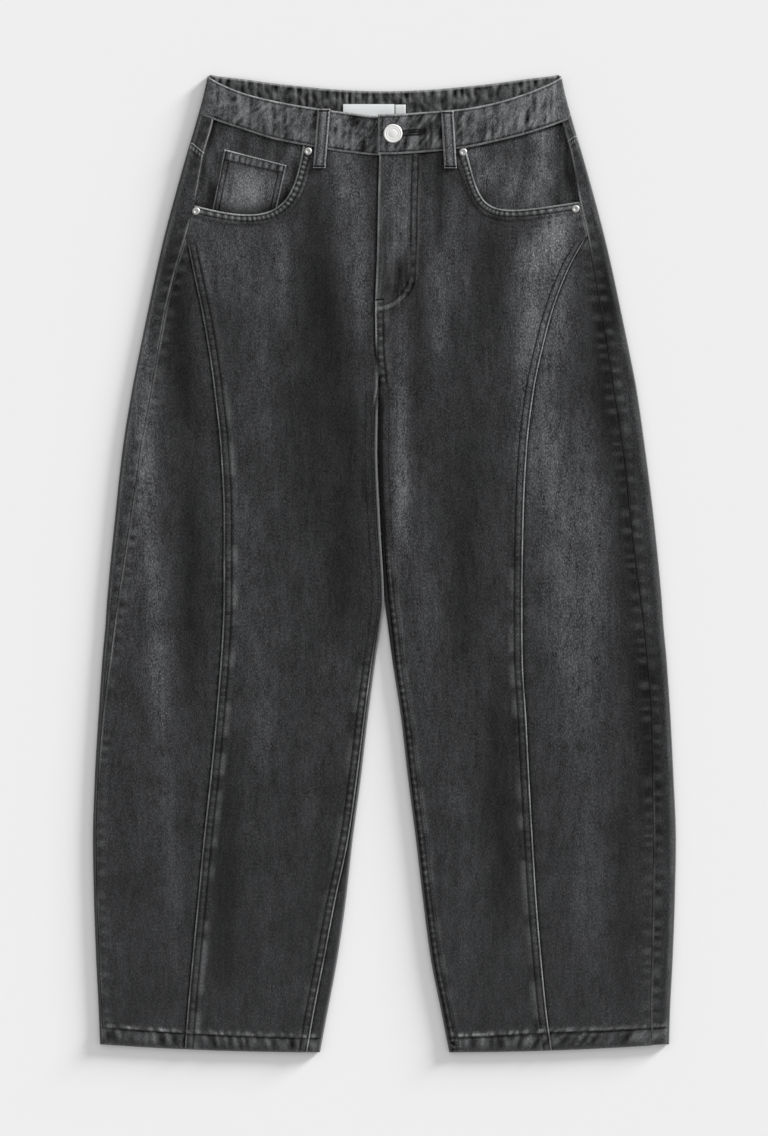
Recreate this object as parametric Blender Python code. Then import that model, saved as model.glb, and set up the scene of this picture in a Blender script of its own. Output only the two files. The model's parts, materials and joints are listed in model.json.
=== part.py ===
"""Barrel-leg jeans in washed charcoal denim, buttoned up and laid flat on their back.

The waist points to +Y, the front faces +Z and the origin is under the middle of the
outline. Sizes are millimetres until a mesh is made. A place on the garment is given by
"out", the distance from the centre line towards a side, and "down", the distance from
the waist's side corners towards the hem. Right and left are the wearer's own, so the
right leg lies at -X. The two layers of each leg lie on each other: the back panel runs
from the side seam round the fold and under the leg to the inseam.
"""

import math
from collections import namedtuple

import bmesh
import bpy
from mathutils import Vector

MM = 0.001

# Overall sizes and cloth thicknesses
LENGTH = 977.0
DENIM = 1.2
BAND_WALL = 2.2
FACING_WALL = 1.0
SEAM_GAP = 0.3
BAND_GAP = 0.45
FOLD_RUN = 2.6

# Heights of the top surface above the floor
EDGE_TOP_WAIST, EDGE_TOP_LEG = 6.8, 5.0
BODY_TOP_WAIST, BODY_TOP_LEG = 7.8, 5.2
CROWN_RUN = 45.0
SEAT_LIFT = 1.3

# Seams that are folded over and topstitched
LAP_HEIGHT = 0.9
LAP_WIDTH = 9.0
LAP_SLOPE = 1.5
POCKET_LAP_WIDTH = 7.0
HEM_LAP = 0.8
FLY_RISE = 1.4
FLY_WIDTH = 37.0
FLY_FOOT = 200.0

# Landmarks, as distances down from the waist corners
CROTCH = 313.0
SIDE_PANEL_TIP = 161.0
HIP_ROWS = (161.0, 176.0, 190.0)
LAST_PLAIN_ROW = 905.0
LEG_ROWS = (
    212, 237, 241, 270, 300, CROTCH, 340, 380, 420, 462,
    505, 548, 592, 637, 682, 727, 772, 817, 861, LAST_PLAIN_ROW,
)
HEM_DROP = 8.0

# The leg's section at each row: the outline, the seams on the front, the inner fold
LEG_COLUMNS = ("down", "outline", "side_seam", "panel_seam", "inner", "inseam")
RIGHT_LEG = (
    (0, 176.5, 164.0, 163.0, 5.5, 5.5),
    (20, 180.8, 167.0, 166.0, 5.5, 5.5),
    (45, 187.6, 170.8, 169.8, 5.5, 5.5),
    (81, 198.2, 180.8, 179.8, 5.7, 5.7),
    (125, 210.5, 188.9, 187.9, 6.7, 6.7),
    (161, 220.0, 198.2, 197.2, 7.3, 7.3),
    (195, 227.8, 208.5, 189.7, 8.3, 8.3),
    (235, 236.3, 218.3, 181.2, 9.7, 9.7),
    (270, 243.5, 224.9, 175.3, 9.2, 9.2),
    (300, 249.5, 230.4, 171.0, 7.0, 7.0),
    (313, 252.0, 232.5, 169.3, 6.5, 9.7),
    (375, 261.9, 243.7, 162.4, 7.5, 10.7),
    (445, 269.6, 254.0, 159.6, 4.7, 7.9),
    (525, 277.3, 266.5, 159.9, 0.5, 3.7),
    (550, 279.0, 270.0, 160.8, 3.3, 6.5),
    (585, 282.1, 274.5, 163.0, 8.8, 12.0),
    (645, 286.2, 282.0, 167.9, 16.8, 20.0),
    (705, 289.7, 286.5, 173.0, 23.8, 27.5),
    (765, 291.5, 288.3, 179.5, 31.8, 36.2),
    (825, 290.4, 287.2, 185.7, 38.5, 48.9),
    (885, 288.2, 285.0, 191.0, 47.2, 60.3),
    (935, 285.7, 282.5, 195.5, 56.5, 70.0),
    (977, 284.0, 280.8, 198.8, 64.4, 77.3),
)
LEFT_LEG = (
    (0, 176.5, 166.0, 165.0, -5.2, -5.2),
    (20, 180.8, 169.0, 168.0, -5.2, -5.2),
    (45, 187.6, 177.0, 176.0, -5.2, -5.2),
    (81, 198.2, 186.8, 185.8, -5.4, -5.4),
    (125, 210.5, 194.9, 193.9, -6.4, -6.4),
    (161, 219.9, 203.0, 202.0, -7.0, -7.0),
    (195, 227.8, 209.0, 182.8, -8.0, -8.0),
    (235, 236.3, 216.3, 167.7, -9.4, -9.4),
    (270, 243.5, 221.8, 158.5, -8.9, -8.9),
    (300, 249.5, 227.0, 151.8, -6.7, -6.7),
    (313, 251.9, 228.8, 149.5, -6.1, -2.9),
    (375, 260.8, 238.5, 142.5, -6.9, -3.7),
    (445, 269.5, 246.0, 138.8, -4.1, -0.9),
    (525, 277.3, 255.8, 138.1, 0.3, 5.0),
    (550, 279.0, 259.0, 138.6, 3.2, 8.0),
    (585, 282.2, 262.5, 139.5, 7.8, 11.5),
    (645, 286.2, 267.1, 143.2, 16.8, 20.0),
    (705, 289.2, 268.1, 146.0, 23.8, 27.0),
    (765, 291.5, 268.8, 148.6, 31.5, 34.7),
    (825, 290.4, 268.3, 152.5, 38.5, 41.7),
    (885, 288.2, 267.1, 157.5, 46.5, 49.7),
    (935, 285.6, 266.1, 162.8, 56.5, 59.7),
    (977, 284.4, 267.6, 168.6, 64.7, 67.9),
)

# The waistband's edges, as distances down, at each distance out
WAIST_COLUMNS = ("out", "top_right", "bottom_right", "top_left", "bottom_left", "top_back")
WAIST = (
    (-40, 42.0, 81.0, 40.0, 80.0, 16.5),
    (0, 42.0, 81.0, 40.0, 80.0, 16.5),
    (40, 37.5, 77.5, 37.6, 77.9, 15.2),
    (80, 31.8, 70.7, 34.0, 73.4, 11.9),
    (110, 26.2, 64.7, 28.2, 67.2, 8.6),
    (140, 18.7, 55.3, 19.2, 59.8, 4.5),
    (165, 8.5, 47.0, 9.0, 52.0, 1.5),
    (177, 2.2, 42.6, 2.8, 47.5, 0.0),
    (190, 0.0, 38.5, 0.0, 42.0, 0.0),
)
BACK_BAND_HEIGHT = 39.0

# The scoop of each front pocket, as a curve's four control points (out, down)
SCOOPS = {
    "right": ((189.7, 131.0), (102.8, 154.8), (91.4, 130.8), (81.0, 71.0)),
    "left": ((194.0, 127.4), (95.3, 143.1), (98.2, 140.8), (81.0, 73.6)),
}
SCOOP_STEPS = (0.0, 0.08, 0.1, 0.25, 0.38, 0.48, 0.58, 0.68, 0.82, 1.0)
PAST_SCOOP = 10.0
FACING_REACH = 13.0
FACING_DEPTH = 2.9

# The yoke seam's distance down at the side seam, the fold and the centre back
YOKE_SEAM = {"right": (78.0, 68.0, 130.0), "left": (66.0, 61.0, 130.0)}

# Long soft folds: where each starts and ends (out, down), half width and height
Fold = namedtuple("Fold", "leg out_start down_start out_end down_end half_width height")
FOLDS = (
    Fold("right", 125, 150, 118, 430, 26, 0.5),
    Fold("right", 48, 150, 30, 500, 22, -0.8),
    Fold("right", 215, 330, 250, 640, 20, 0.6),
    Fold("right", 195, 250, 200, 660, 18, -0.9),
    Fold("right", 90, 420, 96, 760, 24, 0.6),
    Fold("right", 236, 640, 232, 900, 30, 0.5),
    Fold("right", 140, 640, 120, 880, 24, -0.6),
    Fold("left", 46, 120, 44, 390, 17, -0.9),
    Fold("left", 22, 330, 26, 500, 12, 0.6),
    Fold("left", 118, 150, 96, 380, 24, 0.5),
    Fold("left", 70, 370, 76, 640, 24, -0.7),
    Fold("left", 190, 330, 205, 640, 30, 0.6),
    Fold("left", 108, 640, 116, 890, 22, -0.6),
    Fold("left", 205, 640, 214, 900, 28, 0.5),
)

# Small pieces: where each sits and how big it is
LOOP_WIDTH = 12.5
LOOP_WALL = 1.5
LOOP_GAP = 0.5
FRONT_LOOPS = {
    "right": ((60.3, 34.4), (65.2, 93.5)),
    "left": ((62.6, 36.4), (66.0, 93.7)),
}
BACK_LOOPS = {"belt_loop_back_right": -128.0, "belt_loop_back_centre": -7.0, "belt_loop_back_left": 128.0}
BACK_LOOP_WALL = 1.0
BACK_LOOP_TAIL = 12.0
COIN_POCKET = ((159.9, 74.5), (97.9, 90.6), (110.6, 147.0), (174.8, 149.0))
COIN_WALL, COIN_DROP, COIN_HEM = 0.9, 2.5, 0.5
BACK_POCKET_TOP = ((40.0, 138.0), (165.0, 134.0))
BACK_POCKET_SIDE = 252.0
BACK_POCKET_POINT = 268.0
BACK_POCKET_WALL = 1.0
ZIP_OUTER, ZIP_INNER, ZIP_TOP, ZIP_FOOT = -21.0, 8.0, 84.0, 226.0
ZIP_WALL = 1.1
BUTTON_AT = (8.5, 59.2)
BUTTON_RADIUS = 9.3
BUTTON_SHANK = 1.25
RIVETS = {
    "rivet_right_upper": ("right", 76.3, 76.8),
    "rivet_right_lower": ("right", 188.2, 136.5),
    "rivet_left_upper": ("left", 78.7, 77.6),
    "rivet_left_lower": ("left", 190.9, 134.2),
}
RIVET_RADIUS = 3.8
LABEL = (-41.2, 10.0, 29.4, 54.0)
SIZE_TAB = (10.8, 21.2, 29.9, 42.0)
LABEL_WALL = 0.8

# The waistband's columns, as distances out, and its rows, as shares of its height
UNDERLAP = 34.0
BAND_ROWS = (0.0, 0.22, 0.44, 0.53, 0.76, 1.0)
BUTTONHOLE_ROW = 2
BUTTONHOLE = (6.0, 32.0)
BAND_RIGHT_FRONT = (-UNDERLAP, -6.0, 16.0, 46.0, 71.0, 98.0, 122.0, 144.0, 160.0, 173.0)
BAND_LEFT_FRONT = (-6.0, 6.0, 32.0, 38.0, 49.0, 60.0, 71.0, 98.0, 122.0, 144.0, 160.0, 173.0)
BAND_BACK = (172.0, 157.0, 134.0, 90.0, 50.0, 12.0)
BAND_FOLD = 184.0
OVERLAP_FLAT, OVERLAP_FADE = 37.0, 34.0
FOLD_ANGLES = (45.0, 0.0, -45.0, -90.0)
INNER_ANGLES = (-45.0, 0.0, 45.0, 90.0)


class Curve:
    """A smooth line through a few stations that never swings past them."""

    def __init__(self, stations, values):
        self.stations, self.values = stations, values
        steps = [b - a for a, b in zip(stations, stations[1:])]
        rates = [(b - a) / s for a, b, s in zip(values, values[1:], steps)]
        inner = [0.0 if p * q <= 0 else 2 * p * q / (p + q) for p, q in zip(rates, rates[1:])]
        self.slopes = [rates[0], *inner, rates[-1]]

    def __call__(self, at):
        at = min(max(at, self.stations[0]), self.stations[-1])
        k = max(i for i, s in enumerate(self.stations[:-1]) if s <= at)
        step = self.stations[k + 1] - self.stations[k]
        t = (at - self.stations[k]) / step
        rest = 1 - t
        ends = self.values[k] * rest * rest * (1 + 2 * t) + self.values[k + 1] * t * t * (1 + 2 * rest)
        return ends + step * t * rest * (self.slopes[k] * rest - self.slopes[k + 1] * t)


def curves(names, rows):
    """One curve for each named column of a table, along its first column."""
    stations = [row[0] for row in rows]
    return {name: Curve(stations, [row[k] for row in rows]) for k, name in enumerate(names) if k}


LEG = {"right": curves(LEG_COLUMNS, RIGHT_LEG), "left": curves(LEG_COLUMNS, LEFT_LEG)}
BAND = curves(WAIST_COLUMNS, WAIST)
SIGN = {"right": -1.0, "left": 1.0}


def mix(a, b, share):
    return a + (b - a) * share


def ease(t):
    """0 below 0, 1 above 1 and a soft step between."""
    t = min(max(t, 0.0), 1.0)
    return t * t * (3 - 2 * t)


def hem_line(out):
    """How far down the hem's lower edge lies: it rises a little towards the side."""
    share = max(0.0, (out - 62.0) / 222.0)
    return LENGTH - HEM_DROP * share * share


def hem_stitch(out):
    return hem_line(out) - 14.0 - 3.0 * max(0.0, (out - 62.0) / 222.0)


def band_top(side, out):
    return BAND[f"top_{side}"](out)


def straight(stations, curve, at):
    """The value of a curve that is drawn as straight lines between its stations."""
    at = min(max(at, stations[0]), stations[-1])
    k = max(i for i, station in enumerate(stations[:-1]) if station <= at)
    share = (at - stations[k]) / (stations[k + 1] - stations[k])
    return mix(curve(stations[k]), curve(stations[k + 1]), share)


def band_bottom(side, out):
    """The waistband's lower edge on the front; the underlap's lies behind the left front."""

    def edge(station):
        if side == "right" and station < 0:
            return BAND["bottom_left"](-station) - 1.0
        return BAND[f"bottom_{side}"](station)

    columns = BAND_RIGHT_FRONT if side == "right" else BAND_LEFT_FRONT
    return straight((*columns, BAND_FOLD), edge, out)


def back_band_top(out):
    return straight((0.0, *BAND_BACK[::-1], BAND_FOLD), BAND["top_back"], abs(out))


def band_fold_down(side, angle):
    """The lower edge's distance down where the waistband turns round the side."""
    back = back_band_top(BAND_FOLD) + BACK_BAND_HEIGHT
    return mix(band_bottom(side, BAND_FOLD), back, (90.0 - angle) / 180.0)


def seat_lift(side, out, down):
    """How far the seat's underside is held off the floor by the pockets and loops on it."""
    width = 1 - ease((abs(out) - (LEG[side]["outline"](down) - 38.0)) / 28.0)
    return SEAT_LIFT * width * (1 - ease((down - 272.0) / (CROTCH - 273.0)))


def edge_top(down):
    return mix(EDGE_TOP_WAIST, EDGE_TOP_LEG, ease((down - 60.0) / 140.0))


def inner_top(side, down):
    """The top of the inner fold: the right leg's lies a little over the left's."""
    if side == "right":
        return 5.8 - 0.8 * ease((down - 520.0) / 80.0)
    return 3.8 + 1.2 * ease((down - 500.0) / 120.0)


def fold_height(side, out, down):
    total = 0.0
    for fold in FOLDS:
        share = (down - fold.down_start) / (fold.down_end - fold.down_start)
        if fold.leg == side and 0 < share < 1:
            offset = (out - mix(fold.out_start, fold.out_end, share)) / fold.half_width
            total += fold.height * ease(3 * share) * ease(3 * (1 - share)) * math.exp(-offset * offset)
    return total


def top_height(side, out, down):
    """The top surface of the front layer, without its laps."""
    leg = LEG[side]
    edge = edge_top(down)
    body = mix(BODY_TOP_WAIST, BODY_TOP_LEG, ease((down - 290.0) / 80.0))
    from_side = leg["outline"](down) - out - FOLD_RUN
    from_inner = out - leg["inner"](down) - FOLD_RUN
    height = mix(edge, body, ease(from_side / CROWN_RUN))
    below_crotch = ease((down - 270.0) / (CROTCH - 270.0))
    inner = mix(inner_top(side, down), height, ease(from_inner / 40.0))
    height = mix(height, inner, below_crotch)
    room = min(ease(from_side / 18.0), mix(1.0, ease(from_inner / 14.0), below_crotch))
    return height + room * fold_height(side, out, down)


def spot(side, out, down, height):
    """The point of the row frame, in metres."""
    return Vector((SIGN[side] * out, LENGTH / 2 - down, height)) * MM


def finish(name, mesh_data, material):
    """Makes a named object of a finished mesh, shaded smooth apart from its edges."""
    mesh = bpy.data.meshes.new(name)
    mesh_data.to_mesh(mesh)
    mesh_data.free()
    mesh.shade_smooth()
    mesh.set_sharp_from_angle(angle=math.radians(40))
    mesh.materials.append(material)
    made = bpy.data.objects.new(name, mesh)
    bpy.context.scene.collection.objects.link(made)
    return made


def cloth(name, material, columns, rows, place, left_out=None):
    """A wall of cloth on a grid: place(column, row) gives its outer and its inner point.

    left_out(column, row) is true where the square from that corner has no cloth.
    """
    bm = bmesh.new()
    bmesh.ops.create_grid(bm, x_segments=columns - 1, y_segments=rows - 1, size=0.5)

    def index(co):
        return round((co.x + 0.5) * (columns - 1)), round((co.y + 0.5) * (rows - 1))

    if left_out:
        bare = [f for f in bm.faces if left_out(*map(min, *(index(v.co) for v in f.verts)))]
        bmesh.ops.delete(bm, geom=bare, context="FACES")
    outer = list(bm.verts)
    wall = bmesh.ops.extrude_face_region(bm, geom=bm.faces[:], use_keep_orig=True)
    inner = [v for v in wall["geom"] if isinstance(v, bmesh.types.BMVert)]
    places = {index(v.co): place(*index(v.co)) for v in outer}
    for verts, layer in ((outer, 0), (inner, 1)):
        for v in verts:
            v.co = places[index(v.co)][layer]
    bmesh.ops.recalc_face_normals(bm, faces=bm.faces[:])
    return finish(name, bm, material)


def turned(name, material, profile, centre, steps=24):
    """A round piece: the profile's (radius, height) points spun about a vertical axis."""
    bm = bmesh.new()
    line = [bm.verts.new((radius * MM, 0, height * MM)) for radius, height in profile]
    edges = [bm.edges.new(pair) for pair in zip(line, line[1:])]
    bmesh.ops.spin(bm, geom=line + edges, cent=(0, 0, 0), axis=(0, 0, 1), angle=2 * math.pi,
                   steps=steps, use_merge=True)
    bmesh.ops.remove_doubles(bm, verts=bm.verts[:], dist=1e-6)
    bmesh.ops.recalc_face_normals(bm, faces=bm.faces[:])
    made = finish(name, bm, material)
    made.location = centre
    return made


def layer(side, out, down, raised=0.0, wall=DENIM, sunk=0.0):
    """Outer and inner point of a front layer: raised is its lap, sunk lies it under another."""
    height = top_height(side, out, down) - sunk
    return spot(side, out, down, height + raised), spot(side, out, down, height - wall)


def bezier(points, t):
    """The point and the tangent of a cubic curve."""
    a, b, c, d = (Vector(p) for p in points)
    s = 1 - t
    point = a * s**3 + b * 3 * s * s * t + c * 3 * s * t * t + d * t**3
    return point, (b - a) * s * s + (c - b) * 2 * s * t + (d - c) * t * t


def front_outer_edge(side, down):
    name = "side_seam" if down < SIDE_PANEL_TIP else "panel_seam"
    return LEG[side][name](down) - SEAM_GAP / 2


def front_inner_edge(side, down):
    return LEG[side]["inseam"](down) + SEAM_GAP / 2


def fly_rise(side, out, down):
    """The fly's extra layers on the left front, down to its curved foot."""
    if side == "right":
        return 0.0
    reach = math.hypot(out - LEG["left"]["inner"](down), max(0.0, down - FLY_FOOT))
    return FLY_RISE * (1 - ease((reach - FLY_WIDTH + 1.0) / 4.0))


def inner_offsets(side):
    """The front's last columns, as distances from its inner edge."""
    lap = (LAP_WIDTH + LAP_SLOPE, LAP_WIDTH, 0.0)
    return lap if side == "right" else (FLY_WIDTH + 3.0, FLY_WIDTH, *lap)


def plain_columns(side, down):
    """The front panel's columns on a row below the pocket, as distances out."""
    start, end = front_outer_edge(side, down), front_inner_edge(side, down)
    inner = [end + offset for offset in inner_offsets(side)]
    outer = [start, start - LAP_WIDTH, start - LAP_WIDTH - LAP_SLOPE]
    count = len(SCOOP_STEPS)
    between = [mix(outer[-1], inner[0], k / count) for k in range(1, count)]
    return outer + between + inner


def pocket_row(side, offset):
    """The front panel's top edge, moved into the panel: the scoop, then the band's seam."""
    places = []
    for t in SCOOP_STEPS:
        point, tangent = bezier(SCOOPS[side], t)
        normal = Vector((tangent.y, -tangent.x)).normalized()
        places.append(point + normal * offset)
    seam = band_bottom(side, 0.0)
    corner = Vector((SCOOPS[side][3][0], band_bottom(side, SCOOPS[side][3][0]) + BAND_GAP))
    places[-1] = corner + Vector((-1.01, 1.04)) * offset
    first = corner.x - PAST_SCOOP
    further = (40.0 if side == "right" else 60.0, *inner_offsets(side))
    rest = [first] + [front_inner_edge(side, seam) + offset_in for offset_in in further]
    for k, out in enumerate(rest):
        drift = -0.2 * offset if k == 0 else 0.0
        places.append(Vector((out + drift, band_bottom(side, out) + BAND_GAP + offset)))
    places[0].y = SCOOPS[side][0][1] + offset
    places[0].x = front_outer_edge(side, places[0].y)
    places[-1].x = front_inner_edge(side, places[-1].y)
    return places


def front_rows(side):
    """Every row of the front panel as a list of (out, down) points."""
    edge = [pocket_row(side, offset) for offset in (0.0, POCKET_LAP_WIDTH, POCKET_LAP_WIDTH + 1.3)]
    start, hip = edge[-1][0].y, HIP_ROWS[-1]
    level = [Vector((out, hip)) for out in plain_columns(side, hip)]
    rows = list(edge)
    for down in HIP_ROWS[:-1]:
        row = [p.lerp(q, (down - start) / (hip - start)) for p, q in zip(edge[-1], level)]
        row[0] = Vector((front_outer_edge(side, down), down))
        row[-1].x = front_inner_edge(side, row[-1].y)
        rows.append(row)
    rows += [[Vector((out, down)) for out in plain_columns(side, down)] for down in (hip, *LEG_ROWS)]
    return rows + hem_rows(lambda down: plain_columns(side, down))


def hem_rows(columns_at):
    """The last rows of a panel, which take the slope of the hem."""
    rows = []
    last = columns_at(LAST_PLAIN_ROW)
    for kind in ("above", "stitch", "lap", "edge"):
        row = []
        for k, out in enumerate(last):
            stitch = hem_stitch(out)
            down = {"above": mix(LAST_PLAIN_ROW, stitch, 0.55), "stitch": stitch - 0.7,
                    "lap": stitch + 0.7, "edge": hem_line(out)}[kind]
            row.append(Vector((columns_at(down)[k], down)))
        rows.append(row)
    return rows


def hem_lap(out, down):
    return HEM_LAP if down > hem_stitch(out) + 0.5 else 0.0


def front_panel(side, material):
    """The centre front of one leg, from the pocket and the waistband's seam to the hem."""
    rows = front_rows(side)
    inner_columns = 3
    past_scoop = len(SCOOP_STEPS)

    def place(column, row):
        out, down = rows[row][column]
        last = len(rows[row]) - 1
        raised = 0.0
        if row < 2 and column < past_scoop:
            raised = LAP_HEIGHT - 0.1
        if row > 4 and column < 2:
            raised = LAP_HEIGHT
        laps_inner = down > CROTCH - 1 or (side == "left" and down > FLY_FOOT)
        if row > 4 and laps_inner and column > last - inner_columns + 1:
            raised = LAP_HEIGHT
        raised = max(raised, fly_rise(side, out, down)) + hem_lap(out, down)
        return layer(side, out, down, raised)

    return cloth(f"front_panel_{side}", material, len(rows[0]), len(rows), place)


def side_panel(side, material):
    """The narrow panel between the curved seam and the side seam."""
    leg = LEG[side]

    def columns_at(down):
        start = leg["side_seam"](down) - SEAM_GAP / 2
        end = leg["panel_seam"](down) + SEAM_GAP / 2
        return [mix(start, end, share) for share in (0.0, 0.25, 0.5, 0.75, 1.0)]

    downs = (SIDE_PANEL_TIP + 1.5, *HIP_ROWS[1:], *LEG_ROWS)
    rows = [[Vector((out, down)) for out in columns_at(down)] for down in downs] + hem_rows(columns_at)

    def place(column, row):
        out, down = rows[row][column]
        return layer(side, out, down, hem_lap(out, down))

    return cloth(f"side_panel_{side}", material, 5, len(rows), place)


# The back's columns: along the strip on top, round the fold, across, round the inner fold
STRIP_SHARES = (0.0, 0.5, 1.0)
FLAT_SHARES = (0.07, 0.16, 0.3, 0.44, 0.58, 0.72, 0.86, 1.0)
FLAT_START = len(STRIP_SHARES) + len(FOLD_ANGLES)
INNER_START = FLAT_START + len(FLAT_SHARES) - 1
BACK_COLUMNS = INNER_START + 1 + len(INNER_ANGLES) + 1


def round_fold(side, edge, inward, down, angle, top, bottom, wall):
    """A point of a fold whose outermost line is at edge: its outer and its inner surface."""
    c, s = math.cos(math.radians(angle)), math.sin(math.radians(angle))
    middle, half = (top + bottom) / 2, (top - bottom) / 2
    centre = edge + inward * FOLD_RUN
    return (
        spot(side, centre - inward * FOLD_RUN * c, down, middle + half * s),
        spot(side, centre - inward * (FOLD_RUN - wall) * c, down, middle + (half - wall) * s),
    )


def back_point(side, column, down):
    """Outer and inner point of the back layer at one of its columns."""
    leg = LEG[side]
    edge, inner = leg["outline"](down), leg["inner"](down)
    lap = HEM_LAP if down > hem_stitch(min(edge, max(inner, 62.0))) + 0.5 else 0.0
    below_crotch = down > CROTCH - 1
    if column < len(STRIP_SHARES):
        out = mix(leg["side_seam"](down) + SEAM_GAP / 2, edge - FOLD_RUN, STRIP_SHARES[column])
        return layer(side, out, down, lap)
    if column < FLAT_START:
        angle = FOLD_ANGLES[column - len(STRIP_SHARES)]
        return round_fold(side, edge, -1, down, angle, edge_top(down) + lap, 0.0, DENIM)
    if column <= INNER_START:
        end = inner + (FOLD_RUN if below_crotch else SEAM_GAP / 2)
        out = mix(edge - FOLD_RUN, end, FLAT_SHARES[column - FLAT_START])
        lift = seat_lift(side, out, down)
        return spot(side, out, down, lift), spot(side, out, down, lift + DENIM)
    top = inner_top(side, down)
    if column <= INNER_START + len(INNER_ANGLES):
        angle = INNER_ANGLES[column - INNER_START - 1]
        return round_fold(side, inner, 1, down, angle, top + lap, 0.0, DENIM)
    return layer(side, leg["inseam"](down) - SEAM_GAP / 2, down, lap)


def yoke_seam(side, column, down_front, down_fold, down_centre):
    """The yoke seam's distance down at one of the back's columns."""
    if column < len(STRIP_SHARES):
        return mix(down_front, down_fold, STRIP_SHARES[column])
    if column < FLAT_START:
        return down_fold
    return mix(down_fold, down_centre, FLAT_SHARES[column - FLAT_START])


def yoke(side, material):
    """The yoke: from the waistband's seam to the yoke seam, round the side to the centre back."""
    leg = LEG[side]
    columns = INNER_START + 1
    seam = YOKE_SEAM[side]

    def band_edge(column):
        if column < len(STRIP_SHARES):
            return band_bottom(side, mix(leg["side_seam"](45.0), BAND_FOLD, STRIP_SHARES[column]))
        if column < FLAT_START:
            return band_fold_down(side, FOLD_ANGLES[column - len(STRIP_SHARES)])
        out = mix(BAND_FOLD, leg["inner"](60.0), FLAT_SHARES[column - FLAT_START])
        return back_band_top(out) + BACK_BAND_HEIGHT

    def place(column, row):
        top = band_edge(column) + BAND_GAP
        bottom = yoke_seam(side, column, *seam) - SEAM_GAP / 2
        return back_point(side, column, mix(top, bottom, row / 3))

    return cloth(f"yoke_{side}", material, columns, 4, place)


def back_panel(side, material):
    """The back of one leg: side seam, outer fold, underside, inner fold and inseam."""
    downs = [None, None, *HIP_ROWS, *LEG_ROWS]
    hem_start = len(downs)

    def place(column, row):
        if row >= hem_start:
            out = (back_point(side, column, LAST_PLAIN_ROW)[0] / MM).x * SIGN[side]
            stitch = hem_stitch(out)
            downs_there = (mix(LAST_PLAIN_ROW, stitch, 0.55), stitch - 0.7, stitch + 0.7, hem_line(out))
            return back_point(side, column, downs_there[row - hem_start])
        if row < 2:
            seam = yoke_seam(side, min(column, INNER_START), *YOKE_SEAM[side]) + SEAM_GAP / 2
            return back_point(side, column, mix(seam, HIP_ROWS[0], 0.5 * row))
        return back_point(side, column, downs[row])

    crotch_row = downs.index(CROTCH)
    rows = hem_start + 4
    return cloth(f"back_panel_{side}", material, BACK_COLUMNS, rows, place,
                 left_out=lambda column, row: column >= INNER_START and row < crotch_row)


def band_point(side, layer_name, out, share):
    """Outer and inner point of the waistband, at a share of its height."""
    if layer_name == "back":
        down = back_band_top(out) + share * BACK_BAND_HEIGHT
        lift = seat_lift(side, out, down)
        return spot(side, out, down, lift), spot(side, out, down, lift + BAND_WALL)
    down = mix(band_top(side, out), band_bottom(side, out), share)
    rise = 0.0
    if side == "left":
        rise = (BAND_WALL + SEAM_GAP) * (1 - ease((out - OVERLAP_FLAT) / OVERLAP_FADE))
    height = top_height(side, out, down) + rise
    return spot(side, out, down, height), spot(side, out, down, height - BAND_WALL)


def band_fold(side, angle, share):
    """A point of the waistband where it turns round the side."""
    top = mix(band_top(side, 175.0), back_band_top(175.0), (90.0 - angle) / 180.0)
    down = mix(top, band_fold_down(side, angle), share)
    edge = LEG[side]["outline"](down)
    return round_fold(side, edge, -1, down, angle, EDGE_TOP_WAIST, 0.0, BAND_WALL)


def waistband(material):
    """The waistband in one strip: the right front's underlap, the back, the left front's overlap."""
    places = [("right", "front", out) for out in BAND_RIGHT_FRONT]
    places += [("right", "fold", angle) for angle in (90.0, *FOLD_ANGLES)]
    places += [("right", "back", out) for out in BAND_BACK]
    places += [("left", "back", out) for out in BAND_BACK[::-1]]
    places += [("left", "fold", angle) for angle in (*FOLD_ANGLES[::-1], 90.0)]
    places += [("left", "front", out) for out in BAND_LEFT_FRONT[::-1]]
    hole = [k for k, p in enumerate(places) if p[:2] == ("left", "front") and p[2] == BUTTONHOLE[1]][0]

    def place(column, row):
        side, kind, value = places[column]
        if kind == "fold":
            return band_fold(side, value, BAND_ROWS[row])
        return band_point(side, kind, value, BAND_ROWS[row])

    return cloth("waistband", material, len(places), len(BAND_ROWS), place,
                 left_out=lambda column, row: column == hole and row == BUTTONHOLE_ROW)


def pocket_facing(side, material):
    """The denim behind a pocket's scoop, held by the waistband, the side seam and the front."""
    steps = 9
    tuck = 4.0

    def lower(share):
        point, tangent = bezier(SCOOPS[side], share)
        point += Vector((tangent.y, -tangent.x)).normalized() * FACING_REACH
        point.x = min(point.x, LEG[side]["side_seam"](point.y) + tuck)
        return point

    def upper(share):
        start = LEG[side]["side_seam"](48.0) + 1.0
        out = mix(start, lower(1.0).x, share)
        return Vector((out, band_bottom(side, out) - tuck))

    def place(column, row):
        point = upper(column / (steps - 1)).lerp(lower(column / (steps - 1)), row / (steps - 1))
        return layer(side, point.x, point.y, sunk=FACING_DEPTH, wall=FACING_WALL)

    return cloth(f"pocket_facing_{side}", material, steps, steps, place)


def quad_point(corners, across, along):
    """A point of a four-sided patch: corners run round it from its top outer one."""
    a, b, c, d = (Vector(p) for p in corners)
    return a.lerp(b, across).lerp(d.lerp(c, across), along)


def coin_pocket(material):
    """The small pocket sewn on the right facing, its lower end tucked under the front."""
    rows = (0.0, 0.14, 0.17, 0.4, 0.7, 1.0)

    def place(column, row):
        point = quad_point(COIN_POCKET, column / 5, rows[row])
        raised = COIN_HEM if row < 2 else 0.0
        outer, inner = layer("right", point.x, point.y, sunk=COIN_DROP - COIN_WALL, wall=COIN_WALL)
        return outer + Vector((0, 0, raised * MM)), inner

    return cloth("coin_pocket", material, 6, len(rows), place)


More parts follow.
